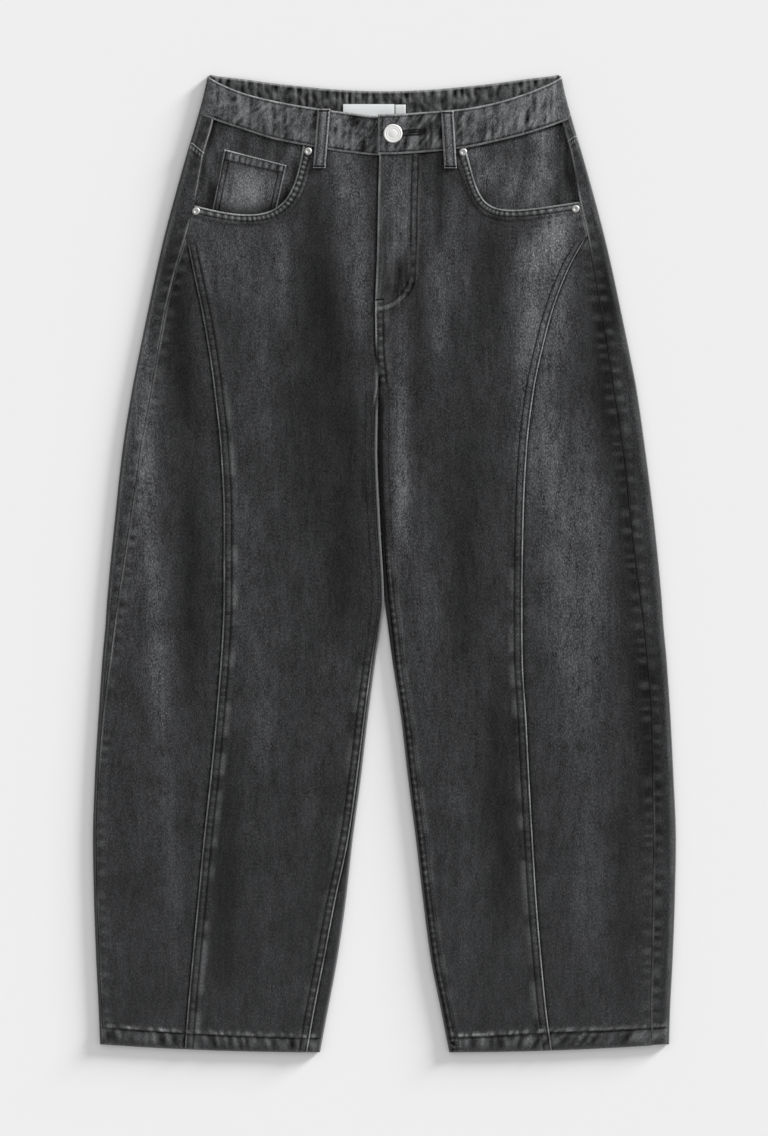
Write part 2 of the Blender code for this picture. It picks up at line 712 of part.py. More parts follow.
def back_pocket(side, material):
    """A patch pocket with a pointed foot, flat under the seat."""
    (inner, inner_top_down), (outer, outer_top_down) = BACK_POCKET_TOP

    def place(column, row):
        across = column / 4
        taper = 5.0 * row / 4 * (1 - 2 * across)
        out = mix(inner, outer, across) + taper
        foot = mix(BACK_POCKET_POINT, BACK_POCKET_SIDE, abs(2 * across - 1))
        down = mix(mix(inner_top_down, outer_top_down, across), foot, row / 4)
        return spot(side, out, down, 0.0), spot(side, out, down, BACK_POCKET_WALL)

    return cloth(f"back_pocket_{side}", material, 5, 5, place)


def front_loop(side, material):
    """A belt loop over the front of the waistband, sewn down at its top and its foot."""
    (top_out, top_down), (foot_out, foot_down) = FRONT_LOOPS[side]
    rows = 7

    def place(column, row):
        share = row / (rows - 1)
        out = mix(top_out, foot_out, share) + LOOP_WIDTH * (0.5 - column / 2)
        down = mix(top_down, foot_down, share)
        height = top_height(side, out, down) + LOOP_GAP
        if side == "left":
            height += (BAND_WALL + SEAM_GAP) * (1 - ease((out - OVERLAP_FLAT) / OVERLAP_FADE))
        return spot(side, out, down, height + LOOP_WALL), spot(side, out, down, height)

    return cloth(f"belt_loop_front_{side}", material, 3, rows, place)


def back_loop(name, across, material):
    """A belt loop flat under the back of the waistband."""

    def place(column, row):
        x = across + LOOP_WIDTH * (column / 2 - 0.5)
        top = back_band_top(across) + 0.8
        down = mix(top, top + BACK_BAND_HEIGHT + BACK_LOOP_TAIL, row / 3)
        return spot("left", x, down, 0.0), spot("left", x, down, BACK_LOOP_WALL)

    return cloth(name, material, 3, 4, place)


def zip_closure(material):
    """The closed zip behind the fly, under both fronts."""

    def place(column, row):
        x = mix(ZIP_OUTER, ZIP_INNER, column / 3)
        down = mix(ZIP_TOP, ZIP_FOOT, row / 6)
        height = top_height("left" if x > 0 else "right", abs(x), down) - DENIM - SEAM_GAP
        return spot("left", x, down, height), spot("left", x, down, height - ZIP_WALL)

    return cloth("zip", material, 4, 7, place)


def label(name, box, material):
    """A woven label on the inside of the back waistband."""
    low, high, top, foot = box

    def place(column, row):
        x = mix(low, high, column / 2)
        down = mix(top, foot, row / 2)
        height = SEAT_LIFT + BAND_WALL + SEAM_GAP
        return spot("left", x, down, height + LABEL_WALL), spot("left", x, down, height)

    return cloth(name, material, 3, 3, place)


def shank_button(material):
    """The fly button: a cap with a rim and a dome, on a post through the buttonhole."""
    out, down = BUTTON_AT
    seat = top_height("left", out, down)
    band = BAND_WALL + SEAM_GAP
    r = BUTTON_RADIUS
    profile = (
        (0.0, SEAM_GAP), (BUTTON_SHANK, SEAM_GAP), (BUTTON_SHANK, band + SEAM_GAP),
        (r - 0.5, band + SEAM_GAP), (r, band + 0.8), (r, band + 1.4), (r - 0.7, band + 2.0),
        (r - 1.8, band + 2.1), (r - 2.5, band + 1.8), (r - 4.6, band + 2.0), (0.0, band + 2.4),
    )
    return turned("button", material, profile, spot("left", out, down, seat), steps=32)


def rivet(name, side, out, down, material):
    """A copper-style rivet cap: a domed ring round a small centre."""
    r = RIVET_RADIUS
    profile = (
        (0.0, 0.0), (r - 0.4, 0.0), (r, 0.3), (r - 0.3, 0.9), (r - 1.3, 1.3),
        (r - 2.2, 1.0), (r - 2.8, 0.9), (0.0, 1.2),
    )
    base = top_height(side, out, down) + LAP_HEIGHT + 1.5 * SEAM_GAP
    return turned(name, material, profile, spot(side, out, down, base), steps=20)


def principled(name, colour, roughness, metallic=0.0):
    material = bpy.data.materials.new(name)
    material.use_nodes = True
    shader = material.node_tree.nodes["Principled BSDF"]
    shader.inputs["Base Color"].default_value = (*colour, 1.0)
    shader.inputs["Roughness"].default_value = roughness
    shader.inputs["Metallic"].default_value = metallic
    return material


def main():
    for old in list(bpy.data.objects):
        bpy.data.objects.remove(old)
    denim = principled("washed_denim", (0.046, 0.047, 0.049), 0.9)
    metal = principled("nickel", (0.62, 0.6, 0.57), 0.35, 1.0)
    woven = principled("label_satin", (0.8, 0.82, 0.82), 0.6)
    tape = principled("zip_tape", (0.02, 0.02, 0.022), 0.8)
    for side in ("right", "left"):
        front_panel(side, denim)
        side_panel(side, denim)
        back_panel(side, denim)
        yoke(side, denim)
        pocket_facing(side, denim)
        back_pocket(side, denim)
        front_loop(side, denim)
    waistband(denim)
    coin_pocket(denim)
    for name, across in BACK_LOOPS.items():
        back_loop(name, across, denim)
    zip_closure(tape)
    label("waist_label", LABEL, woven)
    label("size_tab", SIZE_TAB, woven)
    shank_button(metal)
    for name, (side, out, down) in RIVETS.items():
        rivet(name, side, out, down, metal)


main()
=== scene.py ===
"""Barrel-leg jeans in washed charcoal denim, laid flat on their back: cloth, sewing and trim.

Every piece is built over its construction solid in the shared frame: the waist points to
+Y and the front faces +Z. Lengths are millimetres until a mesh is made. A place on the
garment is "out", the distance from the centre line towards a side, and "down", the
distance from the waist's side corners towards the hem. Right and left are the wearer's.
"""

import json
import math
from collections import namedtuple

import bmesh
import bpy
from mathutils import Matrix, Vector, noise
from mathutils.bvhtree import BVHTree

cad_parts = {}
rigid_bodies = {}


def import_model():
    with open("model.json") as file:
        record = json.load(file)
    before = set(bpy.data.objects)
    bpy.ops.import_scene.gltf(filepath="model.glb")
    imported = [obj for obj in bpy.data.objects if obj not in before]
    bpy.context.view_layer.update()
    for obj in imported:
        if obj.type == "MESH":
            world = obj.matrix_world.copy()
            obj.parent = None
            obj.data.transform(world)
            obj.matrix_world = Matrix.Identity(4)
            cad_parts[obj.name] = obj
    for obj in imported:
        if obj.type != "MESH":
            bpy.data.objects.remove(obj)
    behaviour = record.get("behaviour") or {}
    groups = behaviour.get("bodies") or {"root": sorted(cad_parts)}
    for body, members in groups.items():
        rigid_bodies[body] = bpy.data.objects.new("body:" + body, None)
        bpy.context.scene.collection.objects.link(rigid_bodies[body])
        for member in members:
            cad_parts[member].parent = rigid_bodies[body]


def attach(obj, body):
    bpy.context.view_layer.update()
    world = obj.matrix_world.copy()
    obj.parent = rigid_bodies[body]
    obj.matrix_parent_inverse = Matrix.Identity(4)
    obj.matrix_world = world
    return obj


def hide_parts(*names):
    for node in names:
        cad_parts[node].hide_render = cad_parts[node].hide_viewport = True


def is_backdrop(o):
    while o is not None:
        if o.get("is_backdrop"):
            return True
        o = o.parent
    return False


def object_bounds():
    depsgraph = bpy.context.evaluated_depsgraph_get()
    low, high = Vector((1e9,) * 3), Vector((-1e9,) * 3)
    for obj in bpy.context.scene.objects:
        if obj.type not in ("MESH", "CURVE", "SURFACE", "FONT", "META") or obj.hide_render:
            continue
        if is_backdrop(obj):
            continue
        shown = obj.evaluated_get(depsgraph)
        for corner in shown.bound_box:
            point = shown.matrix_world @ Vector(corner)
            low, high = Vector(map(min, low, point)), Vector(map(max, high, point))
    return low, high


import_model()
CAD_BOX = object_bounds()

bl_info = {
    "name": "Flat-laid barrel-leg jeans",
    "version": (1, 0, 0),
    "blender": (4, 5, 0),
    "location": "View3D > Sidebar > Jeans",
    "description": "Builds washed denim jeans, their sewing and their trim over the construction solids",
    "category": "Add Mesh",
}

MM = 0.001
SIDES = ("right", "left")
SIGN = {"right": -1.0, "left": 1.0}

# Construction sizes, as in the part's source but for the fly's lines and up to 1.6 mm at the panel seams
LENGTH = 977.0
FOLD_RUN = 2.6
EDGE_TOP_WAIST, EDGE_TOP_LEG = 6.8, 5.0
BODY_TOP_WAIST, BODY_TOP_LEG = 7.8, 5.2
CROWN_RUN = 45.0
SEAT_LIFT = 1.3
BAND_WALL = 2.2
BAND_STEP = 2.5
CROTCH = 313.0
SIDE_PANEL_TIP = 161.0
HIP = 190.0
FLY_WIDTH, FLY_FOOT = 40.5, 198.0
HEM_DROP = 8.0
LAST_LEVEL_ROW = 850.0

LEG_COLUMNS = ("down", "outline", "side_seam", "panel_seam", "inner", "inseam")
RIGHT_LEG = (
    (0, 176.5, 164.0, 163.0, 5.5, 5.5),
    (20, 180.8, 167.0, 166.0, 5.5, 5.5),
    (45, 187.6, 170.8, 169.8, 5.5, 5.5),
    (81, 198.2, 180.8, 179.8, 5.7, 5.7),
    (125, 210.5, 188.9, 187.9, 6.7, 6.7),
    (161, 220.0, 198.2, 198.0, 7.3, 7.3),
    (195, 227.8, 208.5, 191.3, 8.3, 8.3),
    (235, 236.3, 218.3, 182.8, 9.7, 9.7),
    (270, 243.5, 224.9, 176.5, 9.2, 9.2),
    (300, 249.5, 230.4, 172.0, 7.0, 7.0),
    (313, 252.0, 232.5, 170.4, 6.5, 9.7),
    (375, 261.9, 243.7, 163.8, 7.5, 10.7),
    (445, 269.6, 254.0, 160.7, 4.7, 7.9),
    (525, 277.3, 266.5, 160.8, 0.5, 3.7),
    (550, 279.0, 270.0, 161.6, 3.3, 6.5),
    (585, 282.1, 274.5, 163.7, 8.8, 12.0),
    (645, 286.2, 282.0, 168.6, 16.8, 20.0),
    (705, 289.7, 286.5, 174.3, 23.8, 27.5),
    (765, 291.5, 288.3, 180.8, 31.8, 36.2),
    (825, 290.4, 287.2, 186.5, 38.5, 48.9),
    (885, 288.2, 285.0, 192.2, 47.2, 60.3),
    (935, 285.7, 282.5, 196.7, 56.5, 70.0),
    (977, 284.0, 280.8, 199.9, 64.4, 77.3),
)
LEFT_LEG = (
    (0, 176.5, 166.0, 165.0, -5.2, -5.2),
    (20, 180.8, 169.0, 168.0, -5.2, -5.2),
    (45, 187.6, 177.0, 176.0, -5.2, -5.2),
    (81, 198.2, 186.8, 185.8, -5.4, -5.4),
    (125, 210.5, 194.9, 193.9, -6.4, -6.4),
    (161, 219.9, 203.0, 202.4, -7.0, -7.0),
    (195, 227.8, 209.0, 183.6, -8.0, -8.0),
    (235, 236.3, 216.3, 168.3, -9.4, -9.4),
    (270, 243.5, 221.8, 158.9, -8.9, -8.9),
    (300, 249.5, 227.0, 152.1, -6.7, -6.7),
    (313, 251.9, 228.8, 149.7, -6.1, -2.9),
    (375, 260.8, 238.5, 142.3, -6.9, -3.7),
    (445, 269.5, 246.0, 139.0, -4.1, -0.9),
    (525, 277.3, 255.8, 137.8, 0.3, 5.0),
    (550, 279.0, 259.0, 137.8, 3.2, 8.0),
    (585, 282.2, 262.5, 138.2, 7.8, 11.5),
    (645, 286.2, 267.1, 141.8, 16.8, 20.0),
    (705, 289.2, 268.1, 144.8, 23.8, 27.0),
    (765, 291.5, 268.8, 148.2, 31.5, 34.7),
    (825, 290.4, 268.3, 151.9, 38.5, 41.7),
    (885, 288.2, 267.1, 156.9, 46.5, 49.7),
    (935, 285.6, 266.1, 161.8, 56.5, 59.7),
    (977, 284.4, 267.6, 167.4, 64.7, 67.9),
)
WAIST_COLUMNS = ("out", "top_right", "bottom_right", "top_left", "bottom_left", "top_back")
WAIST = (
    (-40, 42.0, 81.0, 40.0, 80.0, 16.5),
    (0, 42.0, 81.0, 40.0, 80.0, 16.5),
    (40, 37.5, 77.5, 37.6, 77.9, 15.2),
    (80, 31.8, 70.7, 34.0, 73.4, 11.9),
    (110, 26.2, 64.7, 28.2, 67.2, 8.6),
    (140, 18.7, 55.3, 19.2, 59.8, 4.5),
    (165, 8.5, 47.0, 9.0, 52.0, 1.5),
    (177, 2.2, 42.6, 2.8, 47.5, 0.0),
    (190, 0.0, 38.5, 0.0, 42.0, 0.0),
)
BACK_BAND_HEIGHT = 39.0
BAND_FOLD = 184.0
BAND_FRONT_END, BAND_BACK_END = 173.0, 172.0
UNDERLAP = 34.0
OVERLAP_END = -6.4
OVERLAP_FLAT, OVERLAP_FADE = 37.0, 34.0
SCOOPS = {
    "right": ((189.7, 131.0), (102.8, 154.8), (91.4, 130.8), (81.0, 71.0)),
    "left": ((194.0, 127.4), (95.3, 143.1), (98.2, 140.8), (81.0, 73.6)),
}
MITRE = (-1.01, 1.04)
YOKE_SEAM = {"right": (78.0, 68.0, 130.0), "left": (66.0, 61.0, 130.0)}
COIN_POCKET = ((159.9, 74.5), (97.9, 90.6), (110.6, 147.0), (174.8, 149.0))
FRONT_LOOPS = {"right": ((60.3, 34.4), (65.2, 93.5)), "left": ((62.6, 36.4), (66.0, 93.7))}
BACK_LOOPS = {"right": -128.0, "centre": -7.0, "left": 128.0}
LOOP_WIDTH = 12.5
BUTTON_AT = (8.5, 59.2)
ZIP_OUTER, ZIP_INNER, ZIP_TOP, ZIP_FOOT = -21.0, 8.0, 84.0, 226.0
TOOTH_PITCH = 1.5
COIN_ROWS = (1.9, 6.4)
LABEL = (-41.2, 10.0, 29.4, 54.0)
SIZE_TAB = (10.8, 21.2, 29.9, 42.0)
RIVETS = {
    "rivet_right_upper": ("right", 76.3, 76.8),
    "rivet_right_lower": ("right", 188.2, 136.5),
    "rivet_left_upper": ("left", 78.7, 77.6),
    "rivet_left_lower": ("left", 190.9, 134.2),
}

Band = namedtuple("Band", "out_start down_start out_end down_end half_width amount")


def bands(*rows):
    return [Band(*row) for row in rows]


# Long soft folds: where each starts and ends, its half width and its height
FOLDS = {
    "right": bands(
        (125, 150, 118, 430, 26, 0.5), (48, 150, 30, 500, 22, -0.8), (215, 330, 250, 640, 20, 0.6),
        (195, 250, 200, 660, 18, -0.9), (90, 420, 96, 760, 24, 0.6), (236, 640, 232, 900, 30, 0.5),
        (140, 640, 120, 880, 24, -0.6),
    ),
    "left": bands(
        (46, 120, 44, 390, 17, -0.9), (22, 330, 26, 500, 12, 0.6), (118, 150, 96, 380, 24, 0.5),
        (70, 370, 76, 640, 24, -0.7), (190, 330, 205, 640, 30, 0.6), (108, 640, 116, 890, 22, -0.6),
        (205, 640, 214, 900, 28, 0.5),
    ),
}
# Smaller creases that lie on them
CREASES = {
    "right": bands(
        (34, 96, 40, 210, 6, -0.5), (66, 110, 60, 330, 9, 0.4), (20, 320, 62, 470, 9, -0.5),
        (100, 300, 132, 560, 12, -0.4), (238, 240, 262, 520, 7, 0.5), (176, 560, 190, 860, 12, 0.4),
        (62, 640, 80, 900, 10, -0.4), (268, 620, 262, 940, 9, -0.4),
    ),
    "left": bands(
        (54, 92, 55, 180, 4, -0.8), (84, 150, 74, 300, 9, 0.4), (40, 330, 20, 450, 9, -0.5),
        (120, 330, 126, 620, 12, -0.4), (230, 230, 262, 560, 8, 0.5), (172, 560, 182, 900, 13, -0.4),
        (50, 560, 84, 880, 9, 0.5), (244, 560, 262, 930, 9, -0.5),
    ),
}
# The wash, with some painted shade: soft lighter and darker stretches of the cloth, in steps of grey;
# some darker ones, as beside the side seams, are painted shade. Their places and widths were given one by one.
# Their amounts and WASH_TONE were solved by least squares from the photo's brightness
WASH_AND_SHADE = {
    "right": bands(
        (150, 70, 146, 260, 26, 13), (140, 200, 134, 420, 22, 3), (146, 370, 140, 620, 22, 5),
        (72, 90, 74, 330, 17, -10), (78, 260, 76, 480, 20, -8), (36, 80, 36, 250, 18, 12),
        (40, 250, 44, 620, 22, -13), (10, 60, 12, 300, 9, 3), (182, 90, 180, 220, 14, 11),
        (190, 420, 170, 640, 20, -4), (243, 240, 262, 640, 14, 9), (214, 520, 228, 800, 18, 3),
        (124, 540, 118, 720, 14, 9), (84, 420, 88, 620, 10, -2), (92, 620, 96, 960, 18, -2),
        (50, 620, 70, 900, 12, -4), (158, 600, 160, 960, 16, -13), (104, 130, 104, 260, 9, 19),
        (57, 140, 50, 340, 12, -16), (24, 90, 24, 290, 8, 16), (42, 60, 38, 140, 14, 26),
        (84, 100, 86, 260, 7, 4), (120, 150, 120, 400, 8, 8), (26, 250, 20, 420, 7, 3),
        (214, 145, 195, 380, 12, -16), (196, 330, 193, 680, 12, -10), (241, 190, 236, 500, 11, 25),
        (235, 400, 222, 690, 11, 22), (224, 610, 203, 930, 9, 9), (153, 280, 147, 580, 6, 2),
        (133, 490, 120, 760, 9, 2), (200, 230, 196, 660, 14, -1), (234, 290, 236, 500, 12, 1),
        (100, 140, 104, 190, 14, 2), (66, 110, 62, 400, 14, -1), (34, 90, 38, 250, 9, -1),
        (14, 60, 12, 130, 8, -1),
    ),
    "left": bands(
        (24, 70, 24, 240, 16, 6), (34, 240, 24, 400, 14, -5), (34, 360, 46, 700, 13, 7),
        (52, 80, 50, 260, 8, 7), (76, 80, 78, 260, 14, 9), (82, 300, 78, 640, 18, -10),
        (62, 640, 84, 960, 15, 4), (112, 120, 114, 330, 18, -8), (112, 560, 120, 900, 18, -13),
        (198, 780, 196, 970, 20, 3), (238, 320, 250, 680, 13, -12), (244, 640, 240, 960, 16, -8),
        (268, 700, 272, 970, 14, -2), (16, 220, 17, 530, 9, 31), (57, 150, 56, 310, 10, 20),
        (177, 320, 176, 700, 10, 2), (214, 160, 226, 420, 13, -18), (262, 520, 270, 800, 14, -15),
        (12, 60, 12, 150, 12, 23), (14, 130, 14, 195, 9, 28), (17, 170, 17, 220, 9, -19),
        (34, 150, 32, 300, 6, -9), (66, 100, 66, 200, 5, 11), (96, 160, 92, 330, 7, -3),
        (176, 120, 178, 300, 10, 20), (199, 95, 138, 210, 20, 30), (153, 140, 146, 320, 22, 24),
        (146, 180, 167, 450, 24, 21), (163, 320, 203, 700, 27, 22), (190, 560, 216, 950, 22, 8),
        (216, 150, 232, 270, 12, -8), (170, 100, 172, 220, 12, 12), (55, 80, 53, 190, 4, -21),
        (196, 300, 222, 600, 14, 15), (139, 230, 137, 490, 9, 15), (242, 250, 262, 420, 10, -2),
        (194, 110, 142, 255, 18, 1), (216, 165, 218, 310, 12, -2), (142, 210, 152, 430, 16, -1),
        (152, 310, 196, 560, 18, 1), (192, 460, 206, 760, 20, -3), (2, 290, 26, 580, 8, 3),
        (90, 110, 92, 270, 12, -2), (40, 655, 84, 715, 7, -1), (138, 120, 134, 170, 14, 2),
    ),
}
WASH_TONE = 52.9
PLAIN_TONE, DARKEST_TONE, DISPLAY_GAMMA = 47.0, 20.0, 2.2

# Sewn relief
LAP = 0.75
LAP_WIDTH = 9.0
POCKET_LAP_WIDTH = 7.6
FLY_RISE = 1.4
PUCKER_PITCH = 8.2
HEM_LAP = 0.8
STITCH_PITCH, STITCH_LENGTH, THREAD = 3.1, 2.3, 0.34

# Grid steps
ROW_PITCH = 2.3
EDGE_STEPS = (0.0, 0.35, 0.8, 1.4, 2.1, 3.0, 4.2, 5.4, 6.6, 7.6, 8.4, 9.3, 10.5, 12.5, 15.5)
HEM_SHARES = (2.3, 2.0, 1.75, 1.5, 1.33, 1.23, 1.17, 1.12, 1.07, 1.03, 1.0, 0.97, 0.92, 0.84, 0.7, 0.52,
              0.36, 0.22, 0.12, 0.06, 0.025, 0.0)
FLY_STEPS = (17.2, 19.0, 20.8, 22.6, 24.2, 25.8, 27.4, 29.0, 30.4, 31.5, 32.4, 33.2, 34.0, 35.0, 36.3,
             37.5, 38.4, 39.2, 40.0, 41.0, 42.5, 44.5)
FOLD_ANGLES = (70.0, 50.0, 30.0, 10.0, -10.0, -30.0, -50.0, -70.0, -90.0)


class JeansCloth(bpy.types.PropertyGroup):
    """Sizes of the denim and its sewing."""

    wall: bpy.props.FloatProperty(
        name="Denim", description="Thickness of one layer of denim", default=1.1 * MM, unit="LENGTH")
    pucker: bpy.props.FloatProperty(
        name="Puckers", description="Height of the gathers along the seams", default=0.42 * MM, unit="LENGTH")
    ripple: bpy.props.FloatProperty(
        name="Ripple", description="Height of the cloth's fine unevenness", default=0.55 * MM, unit="LENGTH")


def colour(name, description, *default):
    return bpy.props.FloatVectorProperty(
        name=name, description=description, default=default, subtype="COLOR", size=3, min=0, max=1)


class JeansColours(bpy.types.PropertyGroup):
    """Colours of the finishes."""

    denim: colour("Denim", "Charcoal of the washed cloth", 0.0255, 0.0259, 0.0270)
    worn: colour("Worn edges", "Pale cotton where the dye is rubbed off", 0.40, 0.405, 0.41)
    thread: colour("Thread", "Sewing thread", 0.009, 0.009, 0.010)
    metal: colour("Metal", "Nickel of the button and rivets", 0.86, 0.855, 0.84)
    label: colour("Label", "Woven label", 0.72, 0.74, 0.74)
    floor: colour("Floor", "Surface under the jeans", 0.86, 0.86, 0.86)


class JeansStage(bpy.types.PropertyGroup):
    """Camera and light."""

    height: bpy.props.FloatProperty(
        name="Camera height", description="Camera above the floor", default=6.0, unit="LENGTH")
    sun: bpy.props.FloatProperty(name="Key light", description="Strength of the soft sun", default=6.3, min=0)
    sky: bpy.props.FloatProperty(name="Fill light", description="Strength of the sky", default=0.635, min=0)
    elevation: bpy.props.FloatProperty(
        name="Key elevation", description="Height of the key light over the floor",
        default=math.radians(10.5), subtype="ANGLE")
    azimuth: bpy.props.FloatProperty(
        name="Key direction", description="Bearing of the key light, from +X",
        default=math.radians(38), subtype="ANGLE")
    spread: bpy.props.FloatProperty(
        name="Key softness", description="Angle that the key light fills",
        default=math.radians(16), subtype="ANGLE")


def mix(a, b, share):
    return a + (b - a) * share


def ease(t):
    """0 below 0, 1 above 1 and a soft step between."""
    t = min(max(t, 0.0), 1.0)
    return t * t * (3 - 2 * t)


def hump(offset, half_width):
    """A soft bump, 1 at its middle."""
    share = offset / half_width
    return math.exp(-share * share) if abs(share) < 3 else 0.0


def wander(along, seed, length):
    """A smooth random value, about -1 to 1, that changes over a length."""
    return noise.noise(Vector((along / length, seed * 7.31, 0.5)))


def pucker(along, seed, pitch=PUCKER_PITCH):
    """Uneven gathers along a seam, about -1 to 1."""
    turn = along / pitch + 0.9 * wander(along, seed, 31.0)
    return math.sin(2 * math.pi * turn) * (0.75 + 0.9 * wander(along, seed + 3, 19.0))


class Curve:
    """A smooth line through a few stations that never swings past them."""

    def __init__(self, stations, values):
        self.stations, self.values = stations, values
        steps = [b - a for a, b in zip(stations, stations[1:])]
        rates = [(b - a) / s for a, b, s in zip(values, values[1:], steps)]
        inner = [0.0 if p * q <= 0 else 2 * p * q / (p + q) for p, q in zip(rates, rates[1:])]
        self.slopes = [rates[0], *inner, rates[-1]]
        self.kept = {}

    def __call__(self, at):
        if at not in self.kept:
            self.kept[at] = self.value(at)
        return self.kept[at]

    def value(self, at):
        at = min(max(at, self.stations[0]), self.stations[-1])
        k = max(i for i, s in enumerate(self.stations[:-1]) if s <= at)
        step = self.stations[k + 1] - self.stations[k]
        t = (at - self.stations[k]) / step
        rest = 1 - t
        ends = self.values[k] * rest * rest * (1 + 2 * t) + self.values[k + 1] * t * t * (1 + 2 * rest)
        return ends + step * t * rest * (self.slopes[k] * rest - self.slopes[k + 1] * t)


def curves(names, rows):
    stations = [row[0] for row in rows]
    return {name: Curve(stations, [row[k] for row in rows]) for k, name in enumerate(names) if k}


LEG = {"right": curves(LEG_COLUMNS, RIGHT_LEG), "left": curves(LEG_COLUMNS, LEFT_LEG)}
WAIST_CURVES = curves(WAIST_COLUMNS, WAIST)
for side, rows in (("right", RIGHT_LEG), ("left", LEFT_LEG)):
    below_tip = [row for row in rows if row[0] >= SIDE_PANEL_TIP]
    LEG[side]["panel_seam"] = curves(LEG_COLUMNS, below_tip)["panel_seam"]


def band_top(side, out):
    return WAIST_CURVES[f"top_{side}"](out)


def band_bottom(side, out):
    if side == "right" and out < 0:
        return WAIST_CURVES["bottom_left"](-out) - 1.0
    return WAIST_CURVES[f"bottom_{side}"](out)


def back_band_top(out):
    return WAIST_CURVES["top_back"](abs(out))


def hem_line(out):
    share = max(0.0, (out - 62.0) / 222.0)
    return LENGTH - HEM_DROP * share * share


def hem_height(out):
    return 14.0 + 3.0 * max(0.0, (out - 62.0) / 222.0)


def seat_lift(side, out, down):
    width = 1 - ease((abs(out) - (LEG[side]["outline"](down) - 38.0)) / 28.0)
    return SEAT_LIFT * width * (1 - ease((down - 272.0) / (CROTCH - 273.0)))


def edge_top(down):
    return mix(EDGE_TOP_WAIST, EDGE_TOP_LEG, ease((down - 60.0) / 140.0))


def inner_top(side, down):
    if side == "right":
        return 5.8 - 0.8 * ease((down - 520.0) / 80.0)
    return 3.8 + 1.2 * ease((down - 500.0) / 120.0)


def on_bands(groups, side, out, down):
    """The sum of the soft bands of one leg at a place."""
    total = 0.0
    for band in groups[side]:
        share = (down - band.down_start) / (band.down_end - band.down_start)
        if 0 < share < 1:
            offset = out - mix(band.out_start, band.out_end, share)
            if abs(offset) < 2.6 * band.half_width:
                total += band.amount * ease(3 * share) * ease(3 * (1 - share)) * hump(offset, band.half_width)
    return total


def top_height(side, out, down):
    """The top surface of the front layer, without its laps."""
    leg = LEG[side]
    edge = edge_top(down)
    body = mix(BODY_TOP_WAIST, BODY_TOP_LEG, ease((down - 290.0) / 80.0))
    from_side = leg["outline"](down) - out - FOLD_RUN
    from_inner = out - leg["inner"](down) - FOLD_RUN
    height = mix(edge, body, ease(from_side / CROWN_RUN))
    below_crotch = ease((down - 270.0) / (CROTCH - 270.0))
    inner = mix(inner_top(side, down), height, ease(from_inner / 40.0))
    height = mix(height, inner, below_crotch)
    room = min(ease(from_side / 18.0), mix(1.0, ease(from_inner / 14.0), below_crotch))
    creases = on_bands(FOLDS, side, out, down) + on_bands(CREASES, side, out, down)
    spot_x, spot_y = SIGN[side] * out, down
    ripple = noise.noise(Vector((spot_x / 34.0, spot_y / 70.0, 2.0)))
    ripple += 0.45 * noise.noise(Vector((spot_x / 13.0, spot_y / 26.0, 7.0)))
    return height + room * (creases + ripple * cloth_sizes.ripple / MM)


def level(tone):
    """How much lighter than the plain dye a step of grey is."""
    return (max(tone, DARKEST_TONE) / PLAIN_TONE) ** DISPLAY_GAMMA


def wash_and_shade(side, out, down):
    """How light the wash left the cloth, painted shade included: 1 is the plain charcoal."""
    spot_x = SIGN[side] * out
    cloud = noise.noise(Vector((spot_x / 30.0, down / 52.0, 11.0)))
    cloud += 0.8 * noise.noise(Vector((spot_x / 12.0, down / 24.0, 17.0)))
    tone = WASH_TONE + on_bands(WASH_AND_SHADE, side, out, down)
    return level(tone * (1 + 0.085 * cloud))


def grain_strength(level_here, y):
    """Pale cloth shows more of its grain, and the lower legs show less."""
    low = 1 - 0.22 * ease((-y - 0.15) / 0.25)
    return low * min(1.12, max(0.75, 0.8 + 0.2 * (level_here - 1.1)))


def spot(side, out, down, height):
    """The point of the shared frame, in metres."""
    return Vector((SIGN[side] * out, LENGTH / 2 - down, height)) * MM


class Place:
    """One point of a cloth grid: its two layers, and the wear and painted shade of each."""

    __slots__ = ("outer", "inner", "grain", "worn", "groove", "wash_and_shade", "inside")

    # The wear is pale rubbed cotton. The value after it darkens stitch lines, seams and darker dye, and also
    # paints shade beside raised parts and between them. The wash level carries some painted shade too.
    def __init__(self, outer, inner, grain, worn=0.0, groove=0.0, wash_and_shade_level=1.0, inside=None):
        self.outer, self.inner, self.grain = outer, inner, grain
        self.worn, self.groove, self.wash_and_shade = worn, groove, wash_and_shade_level
        self.inside = inside or (0.0, 0.0, 0.8)


def between(side, out, down, top, foot, worn=0.0, groove=0.0, wash_and_shade_level=None):
    """A place of cloth between two heights, its grain running straight down the garment."""
    shade = wash_and_shade(side, out, down) if wash_and_shade_level is None else wash_and_shade_level
    return Place(spot(side, out, down, top), spot(side, out, down, foot),
                 (SIGN[side] * out * MM, down * MM), worn, groove, shade)


SHARP_ANGLE = math.radians(48)
cloth_sizes = None
colours = None
MATERIALS = {}


def finish(name, bm, material, slot, *nodes):
    """Makes a named piece of a finished mesh and lets it stand for its solids."""
    mesh = bpy.data.meshes.new(name)
    bm.to_mesh(mesh)
    bm.free()
    mesh.shade_smooth()
    mesh.set_sharp_from_angle(angle=SHARP_ANGLE)
    mesh.materials.append(MATERIALS[material])
    made = bpy.data.objects.new(name, mesh)
    bpy.context.scene.collection.objects.link(made)
    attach(made, "root")
    if nodes:
        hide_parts(*nodes)
    return made


